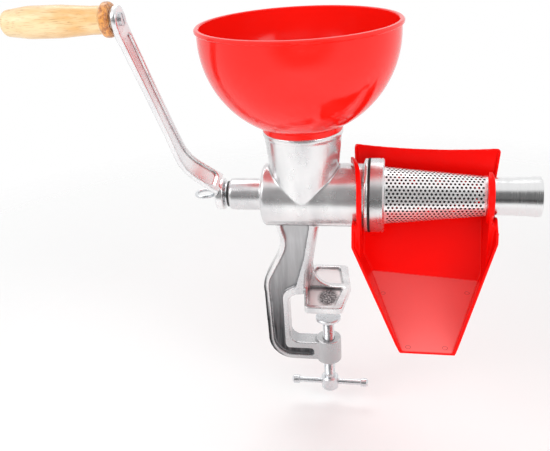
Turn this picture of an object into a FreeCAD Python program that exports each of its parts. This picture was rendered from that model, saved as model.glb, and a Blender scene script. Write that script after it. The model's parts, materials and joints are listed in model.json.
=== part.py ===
import FreeCAD, Part
import math
import os

# Hand-cranked tomato strainer that clamps to a table edge.
# Millimetres. While modelling, X runs along the shaft towards the outlet, Z is up,
# and the shaft axis crosses the neck axis at zero. The finished solids are moved so
# that the centre of the upper jaw's underside, where it meets the tabletop, is the origin.

V = FreeCAD.Vector
ORIGIN = V(0, 0, 0)
X_AXIS = V(1, 0, 0)
Y_AXIS = V(0, 1, 0)
Z_AXIS = V(0, 0, 1)

# Overall places
axis_height = 107.0        # shaft axis above the tabletop
jaw_x = 18.0               # centre of both jaws from the neck axis

# Clearances
running_gap = 0.06         # radial, shaft in its bushing
thread_gap = 0.08          # radial, threads drawn as plain cylinders
joint_gap = 0.03           # radial, pieces soldered or pressed on
seat_gap = 0.1             # between faces that rest on each other
face_gap = 0.2             # between flat faces that turn or slide past each other
slip_gap = 0.3             # radial, pieces put together by hand
reach = 1.0                # how far a cutter goes past the face that it opens
closeness = 1e-6           # points nearer than this are one point
edge_slack = 1.0           # edges are looked for this far round where they should be
shortest_edge = 5.0

# Body casting: barrel, rear hub and mouth
barrel_r = 30.0
barrel_bore_r = 25.0
barrel_rear_x = -40.0
barrel_rear_round = 3.5
rear_wall = 6.0
hub_wall = 3.9             # hub outside the bushing
hub_rear_x = -73.5
hub_round = 3.0
hub_foot_chamfer = 1.5
flange_foot_chamfer = 1.2
flange_rear_chamfer = 0.8
flange_front_chamfer = 0.4
mouth_flange_x = 60.0      # front face of the mouth flange
mouth_flange_t = 4.0
spigot_wall = 4.6          # spigot outside the strainer's cone
spigot_l = 10.0
spigot_chamfer = 0.6

# Body casting: neck
neck_top_z = 66.5
neck_rim_h = 5.5
neck_rim_wall = 3.8        # rim outside the hopper's seat
neck_rim_step = 1.2        # rim outside the shoulder below it
neck_base_step = 3.6       # base inside the hopper's seat
neck_seat_r = 33.2
neck_seat_depth = 21.0
neck_seat_ledge = 3.0
neck_throat_r = 23.5
neck_funnel_step = 2.0
neck_rim_chamfer = 0.7

# Body casting: leg, jaws and clamp arm
leg_t = 18.0
leg_rear_x = -31.0
leg_rear_draft = 1.0       # shoulder in front of the leg's top
leg_front_x = 12.5
leg_top_z = -12.0          # inside the barrel
leg_shoulder_z = -31.0     # where the rear edge starts its waist
leg_shoulder_round = 30.0
leg_waist_x = -24.0
leg_waist_z = -50.0
leg_waist_round = 34.0
leg_knee_x = 5.5           # front edge above the jaw
leg_knee_rise = 40.0
leg_knee_round = 20.0
leg_front_rise = 2.0       # front edge turns above the shoulder
leg_front_flat = 1.5       # flat left between the rounds of the front edges
leg_root_back = 4.5        # throat's end behind the front edge
leg_root_x = 0.5           # front edge on the jaw
panel_depth = 4.0
panel_rim = 5.0
panel_top_z = -24.0
panel_front_x = 3.0
panel_drop = 1.0           # panel's corners below the leg's
panel_foot_round = 5.0
panel_throat_round = 9.0
panel_root_in = 3.0        # panel's root in front of the throat's round
panel_root_up = 9.0
panel_root_round = 5.0
panel_knee_in = 9.0
panel_knee_up = 2.0
panel_knee_round = 10.0
panel_arm_up = 3.0         # panel's top above the middle of the arm
panel_arm_gap = 2.0        # panel's end behind the boss
panel_arm_round = 3.0
spine_x = -46.0
heel_rise = 15.0           # heel of the leg above the tabletop
heel_round = 30.0
toe_round = 26.0
toe_set = 2.0              # toe in front of the spine
throat_x = -22.0
throat_r = 12.0
throat_foot_r = 10.0
throat_opening = 59.0      # between the upper jaw and the lower arm
jaw_half_y = 43.0
jaw_t = 7.0
jaw_tip_half_x = 18.0
jaw_mid_half_x = 24.0
jaw_tip_round = 4.0
jaw_mid_round = 12.0
jaw_recess = 3.0
jaw_rim = 5.0
jaw_front_rim = 7.5
jaw_rib_gap = 1.0          # panel from the gusset
jaw_field_slant = 2.0
jaw_field_root_round = 1.5
jaw_field_tip_round = 3.0
gusset_t = 7.0
gusset_h = 32.0
gusset_toe_h = 0.6
gusset_round = 20.0
gusset_back = 6.5          # gusset's rear inside the leg
gusset_top_x = 4.0         # gusset's top in front of the leg's root
gusset_bend_x = 5.5
arm_h = 21.0
boss_wall = 7.0            # boss outside the clamp screw
boss_below = 3.0           # boss below the arm
boss_above = 3.0           # boss above the arm

# Hopper
hopper_rim_r = 90.0
hopper_rim_z = 161.5
hopper_lip_h = 3.6
hopper_lip_edge = 0.8
hopper_lip_round = 1.2
hopper_wall = 2.5
bowl_r = 88.2
bowl_centre_z = 151.0
hopper_collar_step = 0.2   # collar inside the neck's rim

# Shaft, bushing and seal
shaft_r = 8.0
shaft_front_x = 12.0
bushing_wall = 3.5
bushing_flange_w = 1.0     # flange outside the bushing
bushing_flange_t = 2.0
bushing_seal_space = 1.0
seal_t = 3.0
square_flats = 11.0
square_fit = 0.2           # between the square and the crank's eye
thrust_washer_w = 3.4      # thrust washer outside the shaft

# Auger
auger_rear_x = -31.0
auger_short = 8.0          # auger's tip behind the cone's end
auger_wall = 3.5           # core outside the shaft
auger_collar_w = 3.5
auger_collar_l = 5.0
auger_tip_r = 7.0
auger_gap = 0.8
auger_collar_chamfer = 1.0
auger_root_chamfer = 2.0
auger_tip_chamfer = 1.5
flight_pitch = 30.0
flight_root_t = 5.5
flight_edge_t = 2.6
flight_start = 4.0
flight_stop = 3.0
flight_sink = 1.5

# Strainer and outlet
cone_l = 90.4
cone_r = 26.8
cone_end_r = 18.3
sheet_t = 0.8
strainer_flange_in = 0.4   # flange inside the spigot's outside
strainer_flange_t = 1.2
outlet_step = 1.0          # outlet inside the cone's end
outlet_flare = 1.2
outlet_wall = 1.2
outlet_flare_l = 23.0      # plain length before the flare
outlet_flare_round = 60.0
outlet_mouth_l = 3.0
outlet_mouth_chamfer = 0.6
outlet_mouth_thin = 0.4
outlet_l = 48.5
collar_lip = 0.7           # collar outside the cone's end
collar_l = 4.5

# Ring nut and gasket
nut_wall = 3.4             # nut outside the spigot
nut_lip_t = 2.8
nut_groove_l = 3.6         # groove behind the nut's front face
nut_groove_w = 0.9
nut_groove_t = 0.7
nut_rear_chamfer = 0.5
nut_front_chamfer = 1.2
gasket_t = 1.2
gasket_in = 0.4            # gasket inside the nut's outside

# Crank and handle
crank_angle = 20.0         # lean of the crank from upright, towards the user, as drawn
crank_radius = 189.0
eye_r = 15.2
eye_t = 8.0
eye_x = -86.5              # outer face of the eye
eye_chamfer = 1.0
strap_t = 5.0
strap_root_w = 27.0
strap_mid_w = 18.6
strap_tip_w = 21.0
strap_start_up = 12.0
strap_edge_round = 90.0
waist_low = 0.42           # waist of the strap, as shares of the crank's radius
waist_high = 0.64
knee_x = -111.5
knee_up = 39.3
knee_r = 44.0
tip_r = 11.0
tip_face_x = -133.0        # inner face of the crank's tip
tip_flat = 8.0
tip_bend_r = 14.0
tip_chamfer = 0.8
channel_depth = 2.2
channel_rim = 3.6
channel_eye_gap = 2.0
channel_tip_gap = 4.0
channel_end_r = 4.0
spindle_r = 4.0
spindle_head_r = 5.2
spindle_head_t = 2.2
spindle_slot_w = 1.2
spindle_slot_depth = 0.9
spindle_short = 2.0        # spindle's end inside the grip's far face
grip_l = 94.0
grip_bead_r = 14.0
grip_bead_l = 6.0
grip_bead_round = 2.6
grip_neck_r = 11.2
grip_neck_round = 2.0
grip_cove_l = 2.5
grip_neck_l = 18.0
grip_belly_r = 13.1
grip_belly_l = 44.0
grip_belly_round = 60.0
grip_taper_l = 22.0
grip_taper_round = 40.0
grip_end_r = 10.2
grip_end_round = 5.0
grip_counterbore_r = 7.5
grip_counterbore_l = 9.0
end_nut_r = 6.4
end_nut_h = 4.5
washer_t = 1.4
washer_hole_gap = 0.1
handle_washer_r = 9.0
end_washer_r = 6.6

# Ring screw that holds the crank on
crank_washer_r = 7.5
ring_shank_r = 3.0
ring_shank_l = 20.0
ring_hole_spare = 2.0
ring_neck_r = 3.6
ring_neck_l = 3.0
ring_r = 8.6
ring_wire_r = 1.8
ring_sink = 0.5            # ring let into its neck

# Clamp screw
screw_r = 6.0
screw_tip_r = 4.0
screw_tip_l = 4.0
screw_end_chamfer = 0.8
screw_tip_chamfer = 0.5
grip_table_t = 30.0        # tabletop that the clamp is drawn closed on
screw_close = 20.0         # travel left from there towards the jaw
clamp_pad_r = 13.0
clamp_pad_back_r = 8.0
clamp_pad_t = 6.0
clamp_pad_edge = 3.0
clamp_pad_chamfer = 0.6
screw_head_w = 3.0         # head outside the screw
screw_head_h = 16.0
screw_head_chamfer = 1.5
screw_head_gap = 3.0       # head below the boss when fully closed
bar_r = 3.0
bar_l = 78.0
bar_hole_gap = 0.15
cap_r = 4.6
cap_l = 8.0
cap_over = 2.0             # cap past the bar's end
cap_inner_chamfer = 0.8
cap_outer_chamfer = 1.8

# Chute, inner faces. Each pair is the left end, measured along the shaft from the mouth
# flange, and the right end, measured from the cone's end.
chute_wall = 2.4
chute_top_z = 34.8
chute_top_at = (-13.2, 13.6)
chute_kink_at = (-11.6, 7.4)
chute_crease_at = (2.5, 3.0)
chute_lip_at = (32.0, -30.5)
back_y = (45.0, 30.0)
back_dip = 3.0
back_corner_r = (2.0, 4.0)
back_bend_z = -14.0
back_return = (3.0, 8.0)   # depth of the ends' returns at the back, at the top and at the horn
back_return_round = 5.0
crease_y = 5.0
crease_z = -84.0
lip_y = -110.0
lip_z = -97.0
lip_side_h = 6.0
lip_round = 2.0
lip_opening = 20.0         # how far the hollow runs on past the lip
chute_foot_share = 1.3     # level below everything, as a share of the lip's
kink_y = (-50.0, -38.0)
kink_z = -30.0
kink_round = 6.0
horn_y = (-40.0, -26.0)
horn_z = (-13.0, -16.0)
horn_round = 2.0
horn_cut = 9.0             # slope on the right horn
horn_groove = 1.5          # groove between horn and rib
cradle_gap = 0.3
rib_t = 2.6
rib_rise = 8.0             # rib above the horn
rib_past = 5.0
hook_w = (4.6, 6.0)
hook_t = (6.0, 7.3)        # before the seats are cut
hook_low = -50.0           # degrees from the horizontal, front of the shaft
hook_reach = 96.0          # degrees over the top from the horizontal
hook_wall = (9.0, 6.3)     # hook outside what it clips on
hook_taper_from = 45.0
hook_stations = (0.0, 25.0, hook_taper_from, 60.0, 72.0, 84.0)
hook_taper = 0.55          # share of the width lost at the tip
hook_tip_thin = 1.8
hook_at = (-7.6, 3.5)
hook_lean = (-8.5, 0.0)


# Sizes and places that follow from the values above
bushing_r = shaft_r + bushing_wall
bushing_flange_r = bushing_r + bushing_flange_w
hub_r = bushing_r + hub_wall
auger_core_r = shaft_r + auger_wall
spigot_r = cone_r + spigot_wall
spigot_end_x = mouth_flange_x + spigot_l
nut_r = spigot_r + nut_wall
mouth_flange_r = nut_r
gasket_rear_x = mouth_flange_x + seat_gap
nut_rear_x = gasket_rear_x + gasket_t + seat_gap
strainer_rear_x = spigot_end_x + seat_gap
nut_lip_x = strainer_rear_x + strainer_flange_t + face_gap
nut_front_x = nut_lip_x + nut_lip_t
cone_x = nut_front_x + slip_gap
cone_end_x = cone_x + cone_l
outlet_r = cone_end_r - outlet_step
outlet_end_x = cone_end_x + outlet_l
collar_r = cone_end_r + collar_lip
auger_front_x = cone_end_x - auger_short
neck_rim_r = neck_seat_r + neck_rim_wall
jaw_z = -axis_height
heel_z = jaw_z + heel_rise
arm_top_z = jaw_z - throat_opening
arm_bottom_z = arm_top_z - arm_h
boss_r = screw_r + boss_wall
boss_bottom_z = arm_bottom_z - boss_below
pad_face_z = jaw_z - grip_table_t
screw_head_r = screw_r + screw_head_w
screw_head_z = boss_bottom_z - screw_close - screw_head_gap
crank_washer_x = eye_x - seat_gap - washer_t
grip_start_x = tip_face_x - strap_t - washer_t - 2 * face_gap
grip_end_x = grip_start_x - grip_l
grip_floor_x = grip_end_x + grip_counterbore_l
clip_r = (barrel_r, collar_r)
clip_seat_r = (barrel_r + cradle_gap, collar_r + cradle_gap)
chute_foot_z = lip_z * chute_foot_share


# ---------------------------------------------------------------- helpers

def cylinder(r, start, axis, length):
    """Plain cylinder that starts at a point and runs along an axis."""
    return Part.makeCylinder(r, length, start, axis)


def rod_x(r, x0, x1):
    """Cylinder about the shaft axis between two X values."""
    return cylinder(r, V(min(x0, x1), 0, 0), X_AXIS, abs(x1 - x0))


def ring_x(r_in, r_out, x0, x1):
    """Flat ring or tube about the shaft axis."""
    return rod_x(r_out, x0, x1).cut(rod_x(r_in, x0, x1))


def rounded_wire(corners, to_point, closed=True):
    """Wire through corners (a, b, size): an arc of that radius, or a chamfer if it is below zero."""
    count = len(corners)
    stations = []
    for i, (a, b, size) in enumerate(corners):
        here = V(a, b, 0)
        if size == 0:
            stations.append((here, None, here))
            continue
        back = (V(*corners[i - 1][:2], 0) - here).normalize()
        ahead = (V(*corners[(i + 1) % count][:2], 0) - here).normalize()
        if size < 0:
            stations.append((here - back * size, None, here - ahead * size))
            continue
        radius = size
        half = math.acos(max(-1.0, min(1.0, back.dot(ahead)))) / 2
        run = radius / math.tan(half)
        inward = (back + ahead).normalize()
        centre = here + inward * (radius / math.sin(half))
        stations.append((here + back * run, centre - inward * radius, here + ahead * run))
    last = count if closed else count - 1
    edges = []
    for i, (start, middle, end) in enumerate(stations):
        if middle is not None:
            edges.append(Part.Arc(to_point(start), to_point(middle), to_point(end)).toShape())
        elif start.distanceToPoint(end) > closeness:
            edges.append(Part.LineSegment(to_point(start), to_point(end)).toShape())
        following = stations[(i + 1) % count][0]
        if i < last and end.distanceToPoint(following) > closeness:
            edges.append(Part.LineSegment(to_point(end), to_point(following)).toShape())
    return Part.Wire(edges)


def turned_x(corners, about=ORIGIN):
    """Solid of revolution about an axis along X, from corners (x, r, radius)."""
    wire = rounded_wire(corners, lambda p: V(p.x, about.y, about.z + p.y))
    return Part.Face(wire).revolve(about, X_AXIS, 360)


def turned_z(corners, about=ORIGIN):
    """Solid of revolution about an upright axis, from corners (r, z, radius)."""
    wire = rounded_wire(corners, lambda p: V(about.x + p.x, about.y, p.y))
    return Part.Face(wire).revolve(about, Z_AXIS, 360)


def plate_xz(corners, thickness):
    """Plate of a given thickness centred on the middle plane, outlined in X and Z."""
    wire = rounded_wire(corners, lambda p: V(p.x, -thickness / 2, p.y))
    return Part.Face(wire).extrude(V(0, thickness, 0))


def plate_xy(corners, z0, z1):
    """Level plate outlined in X and Y between two heights."""
    wire = rounded_wire(corners, lambda p: V(p.x, p.y, z0))
    return Part.Face(wire).extrude(V(0, 0, z1 - z0))


def plate_yz(corners, x0, x1):
    """Upright plate across the shaft, outlined in Y and Z."""
    wire = rounded_wire(corners, lambda p: V(x0, p.x, p.y))
    return Part.Face(wire).extrude(V(x1 - x0, 0, 0))


def fused(shapes):
    """One solid from several that touch."""
    return shapes[0].multiFuse(shapes[1:]).removeSplitter()


def without(shape, cutters):
    """Shape with every cutter taken out."""
    for cutter in cutters:
        shape = shape.cut(cutter)
    return shape


def in_crank_plane(shape):
    """Leans a piece drawn in the XZ plane to the crank's angle about the shaft."""
    leaned = shape.copy()
    leaned.rotate(ORIGIN, X_AXIS, crank_angle)
    return leaned


# ---------------------------------------------------------------- body casting

def barrel_and_hub():
    """Barrel with its rear hub, mouth flange and the spigot that the ring nut turns on."""
    flange_rear = mouth_flange_x - mouth_flange_t
    return turned_x([
        (hub_rear_x, 0, 0),
        (hub_rear_x, hub_r, hub_round),
        (barrel_rear_x, hub_r, -hub_foot_chamfer),
        (barrel_rear_x, barrel_r, barrel_rear_round),
        (flange_rear, barrel_r, -flange_foot_chamfer),
        (flange_rear, mouth_flange_r, -flange_rear_chamfer),
        (mouth_flange_x, mouth_flange_r, -flange_front_chamfer),
        (mouth_flange_x, spigot_r, 0),
        (spigot_end_x, spigot_r, -spigot_chamfer),
        (spigot_end_x, 0, 0),
    ])


def neck():
    """Conical neck that spreads from the barrel to the rim under the hopper."""
    rim_z = neck_top_z - neck_rim_h
    return turned_z([
        (0, 0, 0),
        (neck_seat_r - neck_base_step, 0, 0),
        (neck_rim_r - neck_rim_step, rim_z, 0),
        (neck_rim_r, rim_z + neck_rim_step, 0),
        (neck_rim_r, neck_top_z, -neck_rim_chamfer),
        (0, neck_top_z, 0),
    ])


def neck_hollow():
    """Seat for the hopper's spigot and the funnel down to the auger."""
    seat_z = neck_top_z - neck_seat_depth
    return turned_z([
        (0, 0, 0),
        (neck_throat_r - neck_funnel_step, 0, 0),
        (neck_throat_r, barrel_bore_r, 0),
        (neck_seat_r - neck_seat_ledge, seat_z, 0),
        (neck_seat_r, seat_z, 0),
        (neck_seat_r, neck_top_z + reach, 0),
        (0, neck_top_z + reach, 0),
    ])


def leg_side():
    """Side outline of the leg, its throat and the lower clamp arm."""
    return [
        (leg_rear_x, leg_top_z, 0),
        (leg_rear_x + leg_rear_draft, leg_shoulder_z, leg_shoulder_round),
        (leg_waist_x, leg_waist_z, leg_waist_round),
        (spine_x, heel_z, heel_round),
        (spine_x + toe_set, arm_bottom_z, toe_round),
        (jaw_x, arm_bottom_z, 0),
        (jaw_x, arm_top_z, 0),
        (throat_x, arm_top_z, throat_foot_r),
        (throat_x, jaw_z, throat_r),
        (leg_root_x - leg_root_back, jaw_z, 0),
        (leg_root_x, jaw_z + jaw_t, 0),
        (leg_knee_x, jaw_z + leg_knee_rise, leg_knee_round),
        (leg_front_x, leg_shoulder_z + leg_front_rise, 0),
        (leg_front_x, leg_top_z, 0),
    ]


def leg_panel():
    """Outline of the sunk panel that leaves a raised rim round the leg."""
    arm_mid = (arm_top_z + arm_bottom_z) / 2
    arm_panel_top = arm_mid + panel_arm_up
    arm_panel_end = jaw_x - boss_r - panel_arm_gap
    rear_x = leg_rear_x + leg_rear_draft + panel_rim
    return [
        (rear_x, panel_top_z, 0),
        (rear_x, leg_shoulder_z - panel_drop, leg_shoulder_round),
        (leg_waist_x + panel_rim, leg_waist_z - panel_drop, leg_waist_round - panel_rim),
        (spine_x + panel_rim, heel_z - 2 * panel_drop, heel_round - panel_rim),
        (spine_x + panel_rim + toe_set, arm_bottom_z + panel_rim, toe_round - panel_rim),
        (arm_panel_end, arm_bottom_z + panel_rim, panel_arm_round),
        (arm_panel_end, arm_panel_top, panel_arm_round),
        (throat_x - panel_rim, arm_panel_top, panel_foot_round),
        (throat_x - panel_rim, jaw_z + panel_drop, panel_throat_round),
        (throat_x + throat_r - panel_root_in, jaw_z + panel_root_up, panel_root_round),
        (leg_knee_x - panel_knee_in, jaw_z + leg_knee_rise + panel_knee_up, panel_knee_round),
        (panel_front_x, leg_shoulder_z + panel_drop, 0),
        (panel_front_x, panel_top_z, 0),
    ]


def leg():
    """C-shaped leg with a rounded front, panelled on both sides."""
    blank = plate_xz(leg_side(), leg_t)
    front = [e for e in blank.Edges if is_leg_front(e)]
    blank = blank.makeFillet(leg_t / 2 - leg_front_flat, front)
    for side in (-1, 1):
        sunk = plate_xz(leg_panel(), leg_t)
        sunk.translate(V(0, side * (leg_t - panel_depth), 0))
        blank = blank.cut(sunk)
    return blank


def is_leg_front(edge):
    """True for the long edges along the leg's front, between the barrel and the jaw."""
    box = edge.BoundBox
    lies_on_side = box.YMax - box.YMin < closeness
    in_front = box.XMin > leg_root_x - edge_slack and box.XMax < leg_front_x + edge_slack
    highest = leg_shoulder_z + leg_front_rise + edge_slack
    between = box.ZMax < highest and box.ZMin > jaw_z + jaw_t - edge_slack
    return lies_on_side and in_front and between and box.ZMax - box.ZMin > shortest_edge


def jaw():
    """Upper jaw: a wide foot with sunk panels and a curved gusset up to the leg."""
    top = jaw_z + jaw_t
    foot = plate_xy([
        (jaw_x - jaw_mid_half_x, 0, jaw_mid_round),
        (jaw_x - jaw_tip_half_x, -jaw_half_y, jaw_tip_round),
        (jaw_x + jaw_tip_half_x, -jaw_half_y, jaw_tip_round),
        (jaw_x + jaw_mid_half_x, 0, jaw_mid_round),
        (jaw_x + jaw_tip_half_x, jaw_half_y, jaw_tip_round),
        (jaw_x - jaw_tip_half_x, jaw_half_y, jaw_tip_round),
    ], jaw_z, top)
    near = gusset_t / 2 + jaw_rib_gap
    far = jaw_half_y - jaw_rim
    for side in (-1, 1):
        foot = foot.cut(plate_xy([
            (jaw_x - jaw_mid_half_x + jaw_rim, side * near, jaw_field_root_round),
            (jaw_x + jaw_mid_half_x - jaw_front_rim, side * near, jaw_field_root_round),
            (jaw_x + jaw_tip_half_x - jaw_front_rim, side * far, jaw_field_tip_round),
            (jaw_x - jaw_tip_half_x + jaw_rim - jaw_field_slant, side * far, jaw_field_tip_round),
        ], top - jaw_recess, top + reach))
    gusset_end = jaw_x + jaw_mid_half_x - jaw_rim
    gusset_rear = leg_root_x - gusset_back
    gusset = plate_xz([
        (gusset_rear, jaw_z + reach, 0),
        (gusset_end, jaw_z + reach, 0),
        (gusset_end, top + gusset_toe_h, 0),
        (leg_root_x + gusset_bend_x, top + gusset_toe_h, gusset_round),
        (leg_root_x + gusset_top_x, jaw_z + gusset_h, 0),
        (gusset_rear, jaw_z + gusset_h, 0),
    ], gusset_t)
    return fused([foot, gusset])


def body_casting():
    """The whole casting, bored for the auger, bushing and clamp screw."""
    boss = cylinder(boss_r, V(jaw_x, 0, boss_bottom_z), Z_AXIS, arm_h + boss_below + boss_above)
    solid = fused([barrel_and_hub(), neck(), leg(), jaw(), boss])
    bore_rear = barrel_rear_x + rear_wall
    thread_l = arm_h + boss_below + boss_above + 2 * reach
    return without(solid, [
        rod_x(barrel_bore_r, bore_rear, spigot_end_x + reach),
        neck_hollow(),
        rod_x(bushing_r, hub_rear_x - reach, bore_rear + reach),
        cylinder(screw_r + thread_gap, V(jaw_x, 0, boss_bottom_z - reach), Z_AXIS, thread_l),
    ])


# ---------------------------------------------------------------- hopper

def bowl_arc(r, foot_r):
    """Quarter of the bowl's round, from its straight side down to a foot of a given radius."""
    foot_angle = math.acos(foot_r / r)
    ends = []
    for angle in (0, foot_angle / 2, foot_angle):
        ends.append(V(r * math.cos(angle), 0, bowl_centre_z - r * math.sin(angle)))
    return Part.Arc(*ends).toShape(), ends[0], ends[2]


def hopper():
    """Round bowl with a spigot that drops into the neck, a collar that rests on it, a rolled lip."""
    inner_r = bowl_r - hopper_wall
    spigot_out = neck_seat_r - slip_gap
    spigot_in = spigot_out - hopper_wall
    spigot_z = neck_top_z - neck_seat_depth + reach
    collar_z = neck_top_z + seat_gap
    collar_r_out = neck_rim_r - hopper_collar_step
    lip_z = hopper_rim_z - hopper_lip_h
    outer, outer_top, outer_foot = bowl_arc(bowl_r, collar_r_out)
    inner, inner_top, inner_foot = bowl_arc(inner_r, spigot_in)
    foot = [
        inner_foot,
        V(spigot_in, 0, spigot_z),
        V(spigot_out, 0, spigot_z),
        V(spigot_out, 0, collar_z),
        V(collar_r_out, 0, collar_z),
        outer_foot,
    ]
    rim = [
        outer_top,
        V(bowl_r, 0, lip_z),
        V(hopper_rim_r - hopper_lip_edge, 0, lip_z),
        V(hopper_rim_r, 0, lip_z + hopper_lip_edge),
        V(hopper_rim_r, 0, hopper_rim_z - hopper_lip_round),
        V(hopper_rim_r - hopper_lip_round, 0, hopper_rim_z),
        V(inner_r + hopper_lip_edge, 0, hopper_rim_z),
        V(inner_r, 0, hopper_rim_z - hopper_lip_edge),
        inner_top,
    ]
    edges = [outer, inner]
    for chain in (foot, rim):
        for start, end in zip(chain, chain[1:]):
            edges.append(Part.LineSegment(start, end).toShape())
    profile = Part.Face(Part.Wire(Part.__sortEdges__(edges)))
    return profile.revolve(ORIGIN, Z_AXIS, 360)


# ---------------------------------------------------------------- drive

def rear_bushing():
    """Flanged plain bearing pressed into the rear hub."""
    flange_x = hub_rear_x - bushing_flange_t
    inner_end = barrel_rear_x + rear_wall - seal_t - bushing_seal_space
    sleeve = rod_x(bushing_r, hub_rear_x, inner_end)
    flange = rod_x(bushing_flange_r, flange_x, hub_rear_x)
    return fused([sleeve, flange]).cut(rod_x(shaft_r + running_gap, flange_x - reach, inner_end + reach))


def shaft_seal():
    """Rubber ring in the rear wall that keeps juice out of the bushing."""
    front = barrel_rear_x + rear_wall
    return ring_x(shaft_r + seat_gap, bushing_r, front - seal_t, front)


def square_end(x0, x1, flats):
    """Square bar about the shaft axis, turned to the crank's angle."""
    bar = Part.makeBox(x1 - x0, flats, flats, V(x0, -flats / 2, -flats / 2))
    return in_crank_plane(bar)


def drive_shaft():
    """Steel shaft from the auger out to the squared end that carries the crank."""
    shoulder_x = eye_x + eye_t + face_gap
    end_x = eye_x + face_gap
    square = square_end(end_x, shoulder_x + reach, square_flats)
    shaft = fused([rod_x(shaft_r, shoulder_x, shaft_front_x), square])
    return shaft.cut(rod_x(ring_shank_r, end_x - reach, end_x + ring_shank_l + ring_hole_spare))


def flight():
    """Flight of the auger: one helical ribbon, trimmed to the bore and to the strainer's cone."""
    rear = auger_rear_x + flight_start
    front = auger_front_x - flight_stop
    root = auger_tip_r - flight_sink
    edge = max(barrel_bore_r, cone_r) + flight_sink
    section = Part.makePolygon([
        V(root, 0, -flight_root_t / 2),
        V(edge, 0, -flight_edge_t / 2),
        V(edge, 0, flight_edge_t / 2),
        V(root, 0, flight_root_t / 2),
        V(root, 0, -flight_root_t / 2),
    ])
    helix = Part.makeHelix(flight_pitch, front - rear, auger_core_r, 0, True)
    sweep = Part.BRepOffsetAPI.MakePipeShell(Part.Wire(helix.Edges))
    sweep.setFrenetMode(True)
    sweep.add(section)
    sweep.build()
    sweep.makeSolid()
    ribbon = sweep.shape()
    ribbon.rotate(ORIGIN, Y_AXIS, 90)
    ribbon.translate(V(rear, 0, 0))
    bore_r = barrel_bore_r - auger_gap
    ribbon = ribbon.common(rod_x(bore_r, auger_rear_x, front))
    slope = (cone_end_r - cone_r) / (cone_end_x - cone_x)
    cone_start_r = cone_r - sheet_t - auger_gap
    length = cone_end_x - cone_x
    cone = Part.makeCone(cone_start_r, cone_start_r + slope * length, length, V(cone_x, 0, 0), X_AXIS)
    return ribbon.common(rod_x(bore_r, auger_rear_x, cone_x)), ribbon.common(cone)


def auger():
    """Worm with a thick-rooted flight that feeds along the barrel and into the strainer."""
    core = turned_x([
        (auger_rear_x, 0, 0),
        (auger_rear_x, auger_core_r + auger_collar_w, -auger_collar_chamfer),
        (auger_rear_x + auger_collar_l, auger_core_r, -auger_root_chamfer),
        (cone_x, auger_core_r, 0),
        (auger_front_x, auger_tip_r, -auger_tip_chamfer),
        (auger_front_x, 0, 0),
    ])
    in_barrel, in_strainer = flight()
    worm = core.fuse(in_barrel).fuse(in_strainer).removeSplitter()
    return worm.cut(rod_x(shaft_r, auger_rear_x - reach, shaft_front_x))


def thrust_washer():
    """Washer between the bushing's flange and the crank's eye."""
    rear = hub_rear_x - bushing_flange_t
    outer = shaft_r + thrust_washer_w
    return ring_x(shaft_r + face_gap, outer, rear - face_gap - washer_t, rear - face_gap)


# ---------------------------------------------------------------- strainer

def strainer_flange():
    """Rim that the ring nut clamps against the barrel's spigot."""
    inner = cone_r - sheet_t
    outer = spigot_r - strainer_flange_in
    flange = ring_x(inner, outer, strainer_rear_x, strainer_rear_x + strainer_flange_t)
    neck_ring = ring_x(inner, cone_r, strainer_rear_x, cone_x)
    return fused([flange, neck_ring])


def strainer_cone():
    """Rolled cone of sheet steel."""
    outer = Part.makeCone(cone_r, cone_end_r, cone_l, V(cone_x, 0, 0), X_AXIS)
    inner = Part.makeCone(cone_r - sheet_t, cone_end_r - sheet_t, cone_l, V(cone_x, 0, 0), X_AXIS)
    return outer.cut(inner)


def outlet_collar():
    """Band that joins the cone to the outlet tube."""
    return ring_x(outlet_r + joint_gap, collar_r, cone_end_x, cone_end_x + collar_l)


def outlet_tube():
    """Spun outlet that flares gently to its mouth."""
    inner = outlet_r - outlet_wall
    flare_x = cone_end_x + outlet_flare_l
    mouth_x = outlet_end_x - outlet_mouth_l
    return turned_x([
        (cone_end_x, inner, 0),
        (cone_end_x, outlet_r, 0),
        (flare_x, outlet_r, outlet_flare_round),
        (mouth_x, outlet_r + outlet_flare, 0),
        (outlet_end_x, outlet_r + outlet_flare, -outlet_mouth_chamfer),
        (outlet_end_x, inner + outlet_flare - outlet_mouth_thin, 0),
        (mouth_x, inner + outlet_flare, 0),
        (flare_x, inner, outlet_flare_round),
    ])


def ring_nut():
    """Ring nut with an inner lip that draws the strainer onto the barrel."""
    groove_x = nut_front_x - nut_groove_l
    groove_end = groove_x + nut_groove_w
    groove_r = nut_r - nut_groove_t
    return turned_x([
        (nut_rear_x, spigot_r + thread_gap, 0),
        (nut_rear_x, nut_r, -nut_rear_chamfer),
        (groove_x, nut_r, 0),
        (groove_x, groove_r, 0),
        (groove_end, groove_r, 0),
        (groove_end, nut_r, 0),
        (nut_front_x, nut_r, -nut_front_chamfer),
        (nut_front_x, cone_r + slip_gap, 0),
        (nut_lip_x, cone_r + slip_gap, 0),
        (nut_lip_x, spigot_r + thread_gap, 0),
    ])


def mouth_gasket():
    """Flat rubber ring between the mouth flange and the ring nut."""
    return ring_x(spigot_r + slip_gap, nut_r - gasket_in, gasket_rear_x, gasket_rear_x + gasket_t)


# ---------------------------------------------------------------- crank and handle

def strap_path():
    """Centre line of the crank's strap in its own plane: out past the hub, then up."""
    tip_x = tip_face_x - strap_t / 2
    return rounded_wire([
        (eye_x + eye_t / 2, strap_start_up, 0),
        (knee_x, knee_up, knee_r),
        (tip_x, crank_radius - tip_flat, tip_bend_r),
        (tip_x, crank_radius, 0),
    ], lambda p: V(p.x, 0, p.y), False)


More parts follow.
